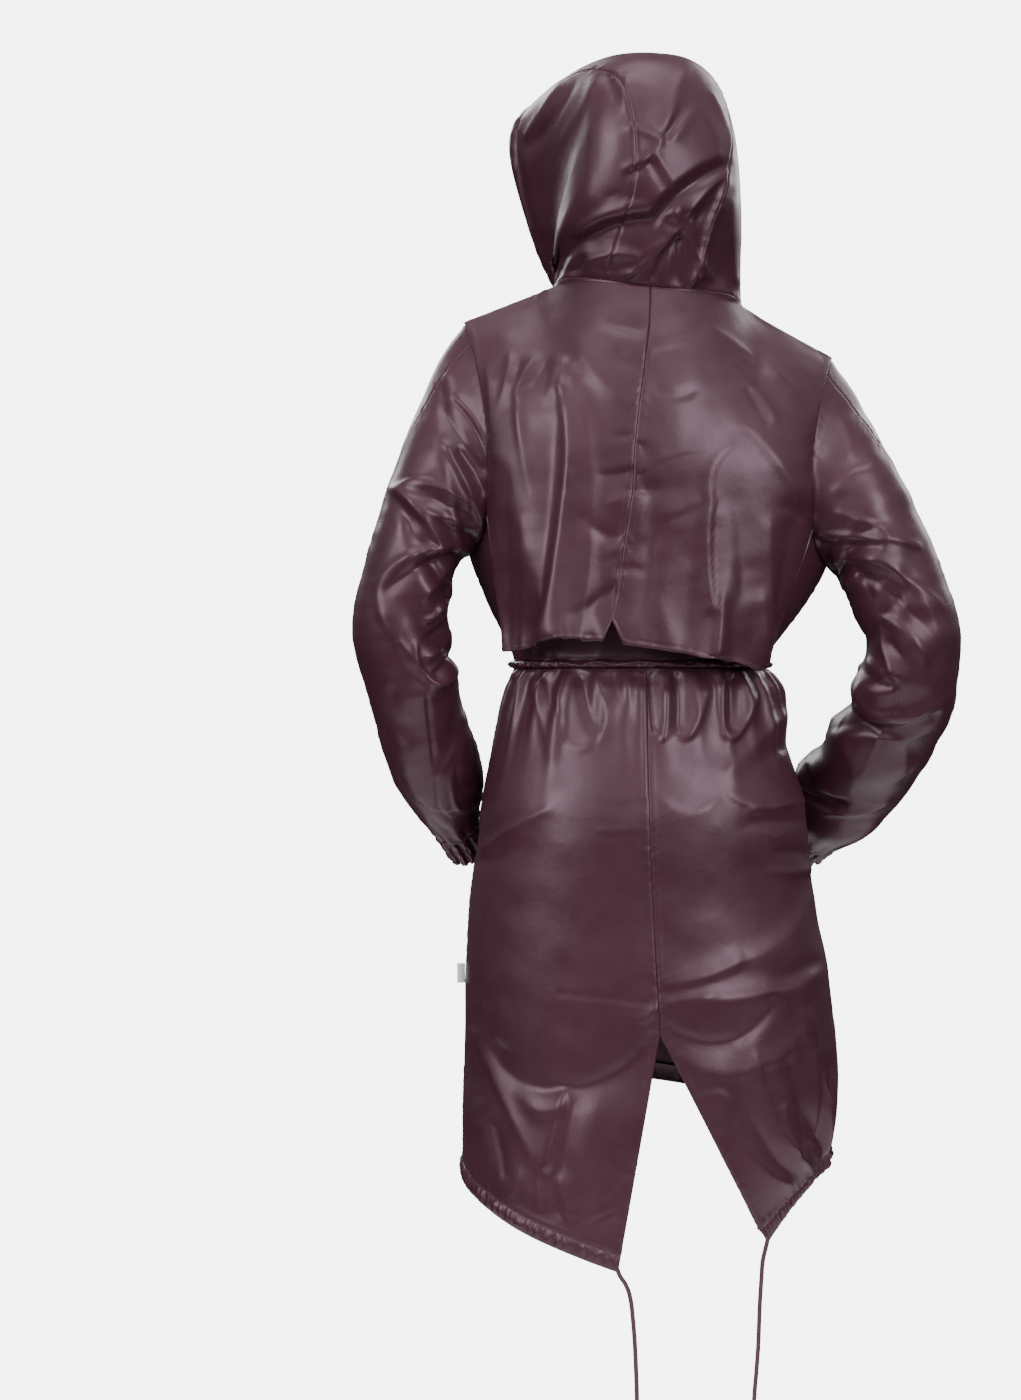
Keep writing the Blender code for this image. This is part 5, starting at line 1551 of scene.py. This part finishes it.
def skirt_relief(panel, across, grid, facing, height):
    """Creases and small gathers under the waist channel."""
    below = np.maximum(WAIST_LOW - height, 0)
    round_waist = across * (1 if panel.endswith("left") else -1) + (3.1 if panel.startswith("front") else 0)
    small = wander(round_waist * 7, below * 6, 61) + 0.7 * wander(round_waist * 15, below * 9, 63)
    gathers = 0.0013 * small * np.exp(-below / 0.035) * ease(below / 0.004)
    folds = both_sides(grid, facing, SKIRT_CREASES, SKIRT_FRONT_CREASES)
    calm = ease(below / 0.015 + 0.1) * ease((height - height.min(axis=0)) / 0.012)
    return gathers + (folds + rumple(grid, 66, 0.00035, 0.07)) * calm


def skirt_shells():
    made = []
    for panel in GATHERS:
        part = panel.split("_")[0]
        step, down_step = (STEP_BACK, STEP_BACK) if part == "back" else (STEP_FRONT, STEP_SIDE)
        shares = stations(SPAN[f"skirt_{part}"], step)
        if panel in ("back_right", "front_left"):
            shares = shares[::-1]
        across, down = np.meshgrid(shares, stations(SPAN["skirt"], down_step)[::-1])
        grid = skirt_surface(panel, across, down, CASING)
        height = run_of(WAIST_LOW, HEM[panel].at(across)[0] + CASING, down)
        facing = outward_of_ring(panel_turn(panel, across, height), height)
        relief = skirt_relief(panel, across, grid, facing, height)
        made.append(Shell(f"skirt_{panel}", grid, facing, relief, SEAMS))
    return made


def casing_shells():
    made = []
    rows = np.append(np.linspace(1.0, 0.0, 11), -CASING_UNDER)
    for side in ("left", "right"):
        parts = []
        for part, way in (("front", -1), ("back", 1)):
            panel, width = f"{part}_{side}", SPAN[f"skirt_{part}"]
            across, down = np.meshgrid(np.linspace(0, 1, int(width / (0.0016))), rows)
            hem_z = HEM[panel].at(across)[0]
            facing = outward_of_ring(panel_turn(panel, across, hem_z), hem_z)
            roundness = np.sqrt(np.clip(4 * down * (1 - down), 0, 1))
            bunch = 1.0 + (4.2 * hump(across - 0.12, 0.16) if panel == "back_right" else 0.0)
            run = across * way * width
            ruche = wander(run / 0.011, down * 0.5, 71) + 0.6 * wander(run / 0.0055, down, 73)
            hidden = 0.0016 * ease(-down / CASING_UNDER)
            relief = (0.0008 * ruche * bunch + 0.0006) * (0.05 + 0.95 * roundness) - hidden
            parts.append((casing_surface(panel, across, down), facing, relief))
        way = -1 if side == "right" else 1
        grid, facing, relief = (
            np.concatenate([front[:, :0:-1], back], axis=1)[:, ::way] for front, back in zip(*parts)
        )
        made.append(Shell(f"hem_casing_{side}", grid, facing, relief, {}))
    return made


def channel_shell():
    share, up = np.meshgrid(np.linspace(0, 1, 640), np.linspace(0, 1, 9))
    facing = outward_of_ring(-90.0 + 360.0 * share, run_of(WAIST_LOW, WAIST_TOP, up))
    ruche = wander(share * 62, up * 0.8, 81) + 0.6 * wander(share * 120, up, 83)
    relief = 0.0010 * ruche * np.sqrt(np.clip(4 * up * (1 - up), 0.05, 1))
    return Shell("waist_channel", channel_surface(share, up), facing, relief, {})


def placket_shell():
    across = run_of(PLACKET_SHARE, -PLACKET_SHARE, stations(SPAN["placket"], 0.004))
    rows, stands = [], []
    for down in run_of(1.0, 0.0, np.linspace(0, 1, 130)):
        level = np.full_like(across, down)
        halves = [skirt_surface(f"front_{side}", 1 - np.abs(across), level) for side in ("left", "right")]
        rows.append(np.where((across >= 0)[:, None], *halves))
        stands.append(0.0036 + 0.0059 * hump(down, 0.05) + 0.0028 * ease((down - 0.88) / 0.08))
    for up in run_of(0.0, PLACKET_TOP, np.linspace(0, 1, 110))[1:]:
        rows.append(front_surface(across, np.full_like(across, up)))
        stands.append(0.0036 + 0.0059 * hump(up, 0.13))
    grid = np.array(rows)[:, ::-1]
    facing = turned_to(outward(grid), np.array((0.0, -1.0, 0.0)))
    grid = grid + facing * np.array(stands)[:, None, None]
    return Shell("front_placket", grid, facing, rumple(grid, 90, 0.0003, 0.03), HEMS, thick=FOLDED_THICK)


def pocket_shells():
    made = []
    near, far = POCKET["across"]
    for side in ("left", "right"):
        panel = f"front_{side}"
        columns = run_of(near, far, stations(SPAN["pocket_width"], STEP_FRONT))
        if side == "left":
            columns = columns[::-1]
        across, up = np.meshgrid(columns, stations(SPAN["pocket_height"], STEP_FRONT))
        cut = np.clip((far - across) / (far - near), 0, 1)
        top = POCKET["top"] + (POCKET["side_top"] - POCKET["top"]) * cut**1.5
        height = run_of(POCKET["bottom"], top, up)
        turn = panel_turn(panel, across, height)
        facing, plain = outward_of_ring(turn, height), ring(turn, height)
        gape = 0.012 * ease(up) * np.sin(math.pi * (across - across.min()) / np.ptp(across))
        stand = WALL + 0.0009 + gape + skirt_folds(panel, across, height)
        relief = np.maximum(crease_height(plain, "front", SKIRT_FRONT_CREASES), 0) + 0.0004
        made.append(Shell(f"pocket_{side}", plain + facing * stand[..., None], facing, relief, HEMS))
    return made


# ---------------------------------------------------------------- stitching, cords, label

STITCH = {"step": 0.0036, "half": 0.00125, "wide": 0.00033, "high": 0.00022}
STITCH_PROFILE = ((-1.0, -0.3), (-0.6, 1.0), (0.6, 1.0), (1.0, -0.3))
STITCH_SIDES = [(k + i, k + (i + 1) % 4, k + 4 + (i + 1) % 4, k + 4 + i) for k in (0, 4) for i in range(4)]
STITCH_FACES = np.array([*STITCH_SIDES, (3, 2, 1, 0), (8, 9, 10, 11)])
LABEL_HEIGHT = -0.7535
LABEL_OUT, LABEL_HALF = 0.009, 0.011


def add_stitches(name, lines, thread):
    """Short stitches end to end along lines of (points, normals), half sunk in the cloth, in one piece."""
    corners, faces = [], []
    for places, normals in lines:
        lengths = run_along(places)
        for k in range(int(lengths[-1] / STITCH["step"])):
            middle = (k + 0.5) * STITCH["step"]
            spots = ((middle - STITCH["half"], places), (middle + STITCH["half"], places), (middle, normals))
            start, end, normal = (
                np.array([np.interp(run, lengths, field[:, i]) for i in range(3)]) for run, field in spots
            )
            reach = np.linalg.norm(end - start)
            if reach < 1e-6:
                continue
            side = np.cross((end - start) / reach, normal)
            faces.append(STITCH_FACES + len(corners))
            for spot, slim in ((start, 0.5), ((start + end) / 2, 1.0), (end, 0.5)):
                for out, high in STITCH_PROFILE:
                    lift = STITCH["high"] * (high if high < 0 else high * (0.4 + 0.6 * slim))
                    corners.append(spot + side * STITCH["wide"] * out * (0.6 + 0.4 * slim) + normal * lift)
    made = mesh_object(name, np.array(corners), np.concatenate(faces), [thread], soft=False)
    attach(made, "root")


def add_cords(cloth):
    """The hem's drawcords: round cord of the coat's own colour, hanging from the tips of the tails."""
    for side, route in CORDS.items():
        route = np.array(route)
        route = np.concatenate([[route[0] + (route[0] - route[1]) * 1.3], route])
        smooth = Table(np.column_stack([run_along(route), route]))
        places = smooth.at(np.linspace(0, smooth.stations[-1], 40)).T
        curve = bpy.data.curves.new(f"cord_{side}", "CURVE")
        curve.dimensions = "3D"
        curve.bevel_depth = CORD_DIAMETER / 2
        curve.bevel_resolution = 5
        curve.use_fill_caps = True
        line = curve.splines.new("POLY")
        line.points.add(len(places) - 1)
        for spot, place in zip(line.points, places):
            spot.co = (*place, 1.0)
        curve.materials.append(cloth)
        made = placed(bpy.data.objects.new(f"cord_{side}", curve))
        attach(made, "root")
        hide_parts(f"drawcord_{side}")


def add_label(ribbon):
    """A folded ribbon, sewn into the side seam by its two ends."""
    edge = ring(np.array(0.0), np.array(LABEL_HEIGHT))
    out, up = np.meshgrid(np.linspace(0, 1, 10), np.linspace(-LABEL_HALF, LABEL_HALF, 14))
    x = edge[0] + SEAM + LABEL_OUT * out
    y = edge[1] + 0.0005 + 0.0011 * np.sin(math.pi * out) * np.cos(up * 90)
    grid = point(x, y, LABEL_HEIGHT + up)
    facing = np.broadcast_to(np.array((0.0, 1.0, 0.0)), grid.shape)
    shell = Shell("side_label", grid, facing, np.zeros(out.shape), {}, thick=0.0010)
    shell.name = "side_label_ribbon"
    finish_cloth(shell.build([ribbon, ribbon]), shell)


# ---------------------------------------------------------------- materials

COATED = (0.054, 0.0166, 0.0255)
COATED_DARK = (0.043, 0.0125, 0.0192)


def set_inputs(node, inputs):
    for socket, value in inputs.items():
        node.inputs[socket.replace("_", " ")].default_value = value
    return node


def new_node(tree, kind, **inputs):
    """A new node with some of its inputs set; an underscore stands for a space in their names."""
    return set_inputs(tree.nodes.new(f"ShaderNode{kind}"), inputs)


def new_material(name, colour, roughness, **sockets):
    made = bpy.data.materials.new(name)
    made.use_nodes = True
    shader = made.node_tree.nodes["Principled BSDF"]
    set_inputs(shader, {"Base Color": (*colour, 1.0), "Roughness": roughness, **sockets})
    return made, made.node_tree, shader


def mapped(tree, texture, **mapping):
    """Lays a texture on the object's own coordinates, scaled or turned."""
    mapping = new_node(tree, "Mapping", **mapping)
    tree.links.new(new_node(tree, "TexCoord").outputs["Object"], mapping.inputs["Vector"])
    tree.links.new(mapping.outputs["Vector"], texture.inputs["Vector"])
    return texture.outputs["Fac"]


def add_noise(tree, scale, detail=3.0, stretch=(1.0, 1.0, 1.0)):
    return mapped(tree, new_node(tree, "TexNoise", Scale=scale, Detail=detail), Scale=stretch)


def vary(tree, shader, socket, source, low, high, start=0.3, stop=0.7):
    """Lets a socket of the shader run from low to high with the source."""
    ramp = tree.nodes.new("ShaderNodeValToRGB")
    for element, position, value in zip(ramp.color_ramp.elements, (start, stop), (low, high)):
        element.position = position
        element.color = (*value, 1.0)
    tree.links.new(source, ramp.inputs["Fac"])
    tree.links.new(ramp.outputs["Color"], shader.inputs[socket])


def add_bumps(tree, shader, *layers):
    """Bumps one on another, each (source, strength, distance)."""
    last = None
    for source, strength, distance in layers:
        bump = new_node(tree, "Bump", Strength=strength, Distance=distance)
        tree.links.new(source, bump.inputs["Height"])
        if last is not None:
            tree.links.new(last.outputs["Normal"], bump.inputs["Normal"])
        last = bump
    tree.links.new(last.outputs["Normal"], shader.inputs["Normal"])


def maths(tree, operation, *sources):
    made = tree.nodes.new("ShaderNodeMath")
    made.operation = operation
    for k, source in enumerate(sources):
        tree.links.new(source, made.inputs[k])
    return made.outputs["Value"]


def coated_material():
    """A smooth rubbery coating over a fine knit: even wine red with a broad satin shine."""
    shine = {"Specular_IOR_Level": 0.50, "Specular_Tint": (1.0, 0.80, 0.93, 1.0)}
    made, tree, shader = new_material("coated_cloth_face", COATED, 0.36, **shine)
    vary(tree, shader, "Base Color", add_noise(tree, 9.0, 4.0), COATED_DARK, COATED)
    vary(tree, shader, "Roughness", add_noise(tree, 34.0, 5.0), (0.31,) * 3, (0.42,) * 3)
    grain = add_noise(tree, 1500.0, 2.0)
    knit = add_noise(tree, 420.0, 2.0, (1.0, 1.0, 0.45))
    crumple = add_noise(tree, 62.0, 3.0)
    add_bumps(tree, shader, (crumple, 0.16, 0.0020), (knit, 0.10, 0.0003), (grain, 0.08, 0.0002))
    return made


def knit_material():
    """The cloth's uncoated inner side."""
    made, tree, shader = new_material("coated_cloth_back", (0.050, 0.020, 0.026), 0.78)
    vary(tree, shader, "Base Color", add_noise(tree, 24.0, 3.0), (0.042, 0.016, 0.021), (0.058, 0.023, 0.030))
    add_bumps(tree, shader, (add_noise(tree, 900.0, 2.0, (1.0, 1.0, 0.5)), 0.5, 0.0004))
    return made


def thread_material():
    made, tree, shader = new_material("thread", (0.060, 0.024, 0.031), 0.55)
    twist = add_noise(tree, 2200.0, 1.0)
    vary(tree, shader, "Base Color", twist, (0.045, 0.017, 0.023), (0.080, 0.034, 0.043))
    add_bumps(tree, shader, (twist, 0.5, 0.0002))
    return made


def cord_material():
    """Round braided cord: two sets of slanting strands."""
    made, tree, shader = new_material("cord_braid", (0.060, 0.020, 0.027), 0.60)
    strands = []
    for slant in (1.0, -1.0):
        wave = new_node(tree, "TexWave", Scale=160.0, Distortion=1.2)
        wave.bands_direction = "Z"
        strands.append(mapped(tree, wave, Rotation=(0.0, slant * math.radians(38), slant * math.radians(20))))
    braid = maths(tree, "MAXIMUM", *strands)
    vary(tree, shader, "Base Color", braid, (0.040, 0.013, 0.018), (0.075, 0.027, 0.036), 0.2, 0.9)
    add_bumps(tree, shader, (braid, 0.6, 0.0006))
    return made


def ribbon_material():
    made, tree, shader = new_material("label_weave", (0.80, 0.80, 0.79), 0.62)
    weave = add_noise(tree, 1800.0, 1.0, (1.0, 1.0, 0.3))
    vary(tree, shader, "Base Color", weave, (0.74, 0.74, 0.73), (0.84, 0.84, 0.83))
    add_bumps(tree, shader, (weave, 0.35, 0.0002))
    return made


def metal_material():
    made, tree, shader = new_material("snap_lacquer", (0.055, 0.026, 0.033), 0.30, Metallic=0.55)
    fine = add_noise(tree, 700.0, 2.0)
    vary(tree, shader, "Roughness", fine, (0.24,) * 3, (0.38,) * 3)
    add_bumps(tree, shader, (fine, 0.1, 0.0001))
    return made


# ---------------------------------------------------------------- the scene

FLOOR = -1.46
FLOOR_RADIUS = 1.2
LIGHTS = (
    # name, place, aimed at, width, height, watts
    ("key", (-1.9, 3.0, 0.9), (0.0, 0.0, -0.3), 1.6, 2.4, 76.0),
    ("fill", (2.5, 2.3, 0.8), (0.0, 0.0, -0.3), 1.6, 2.4, 72.0),
    ("top", (0.0, 0.4, 2.4), (0.0, 0.0, 0.0), 2.4, 2.0, 46.0),
    ("front_key", (1.6, -2.8, 1.5), (0.0, 0.0, -0.3), 1.6, 2.0, 54.0),
    ("front_fill", (-1.9, -2.5, 1.3), (0.0, 0.0, -0.4), 1.6, 2.0, 42.0),
)


def finish_cloth(made, shell):
    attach(made, "root")
    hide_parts(shell.node)


def add_camera():
    """Straight behind the coat, level with its waist, with the coat to the right of the picture's middle."""
    camera = placed(bpy.data.objects.new("camera", bpy.data.cameras.new("camera")))
    camera.location = EYE["back"]
    camera.rotation_euler = (math.radians(90), 0, math.radians(180))
    camera.data.sensor_fit = "VERTICAL"
    camera.data.sensor_height = 36.0
    camera.data.lens = 103.32
    bpy.context.scene.camera = camera


def add_lights():
    for name, place, aim, width, height, power in LIGHTS:
        light = bpy.data.lights.new(name, "AREA")
        light.shape = "RECTANGLE"
        light.size, light.size_y = width, height
        light.energy = power
        made = placed(bpy.data.objects.new(name, light))
        made.location = place
        way = Vector(aim) - Vector(place)
        made.rotation_euler = way.to_track_quat("-Z", "Y").to_euler()


def eased_between(tree, source, start, stop, low, high):
    """Runs softly from low to high while the source runs from start to stop."""
    made = new_node(tree, "MapRange", From_Min=start, From_Max=stop, To_Min=low, To_Max=high)
    made.interpolation_type = "SMOOTHSTEP"
    tree.links.new(source, made.inputs["Value"])
    return made.outputs["Result"]


def add_world():
    """A studio that is dark below, bright above and dimmer before the coat, with a pale backdrop."""
    world = bpy.data.worlds.new("studio")
    bpy.context.scene.world = world
    world.use_nodes = True
    tree = world.node_tree
    background = set_inputs(tree.nodes["Background"], {"Color": (0.93, 0.94, 0.97, 1.0)})
    parts = tree.nodes.new("ShaderNodeSeparateXYZ")
    tree.links.new(new_node(tree, "TexCoord").outputs["Generated"], parts.inputs["Vector"])
    above = eased_between(tree, parts.outputs["Z"], -0.16, 0.34, 0.075, 1.10)
    behind = eased_between(tree, parts.outputs["Y"], -0.6, 0.8, 0.24, 1.0)
    tree.links.new(maths(tree, "MULTIPLY", above, behind), background.inputs["Strength"])
    backdrop = new_node(tree, "Background", Color=(0.975, 0.98, 1.0, 1.0), Strength=6.2)
    choose = tree.nodes.new("ShaderNodeMixShader")
    tree.links.new(new_node(tree, "LightPath").outputs["Is Camera Ray"], choose.inputs["Fac"])
    tree.links.new(background.outputs["Background"], choose.inputs[1])
    tree.links.new(backdrop.outputs["Background"], choose.inputs[2])
    tree.links.new(choose.outputs["Shader"], tree.nodes["World Output"].inputs["Surface"])


def add_floor():
    turns = np.linspace(0, 2 * math.pi, 97)[:-1]
    rim = point(FLOOR_RADIUS * np.cos(turns), FLOOR_RADIUS * np.sin(turns), FLOOR)
    pale, tree, shader = new_material("floor_pale", (0.93, 0.93, 0.94), 0.8)
    vary(tree, shader, "Base Color", add_noise(tree, 3.0), (0.92, 0.92, 0.93), (0.95, 0.95, 0.96))
    mesh_object("floor", rim, np.arange(len(turns))[None, :], [pale])


def main():
    add_camera()
    add_cords(cord_material())
    face, back = coated_material(), knit_material()
    thread, ribbon, metal = thread_material(), ribbon_material(), metal_material()
    bodice, sleeves, hood = bodice_shells(), sleeve_shells(), hood_shells()
    skirt, casings, capes = skirt_shells(), casing_shells(), cape_shells()
    for joined in ([*bodice, *sleeves], hood, [*skirt, *casings], capes):
        join_rims(joined)
    shells = [*bodice, *sleeves, *hood, *skirt, *casings, *capes, channel_shell(), placket_shell()]
    shells += [*pocket_shells(), *cuff_shells()]
    for shell in shells:
        finish_cloth(shell.build([face, back]), shell)
    by_node = {shell.node: shell for shell in shells}
    lines = {}
    for name, node, edge, distance in STITCHING:
        lines.setdefault(name, []).append(by_node[node].line(edge, float(distance)))
    for name, rows in lines.items():
        add_stitches(f"stitching_{name}", rows, thread)
    add_label(ribbon)
    for node in ("snap_neck", "snap_waist"):
        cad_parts[node].data.materials.clear()
        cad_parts[node].data.materials.append(metal)
    add_lights()
    add_world()
    add_floor()


main()
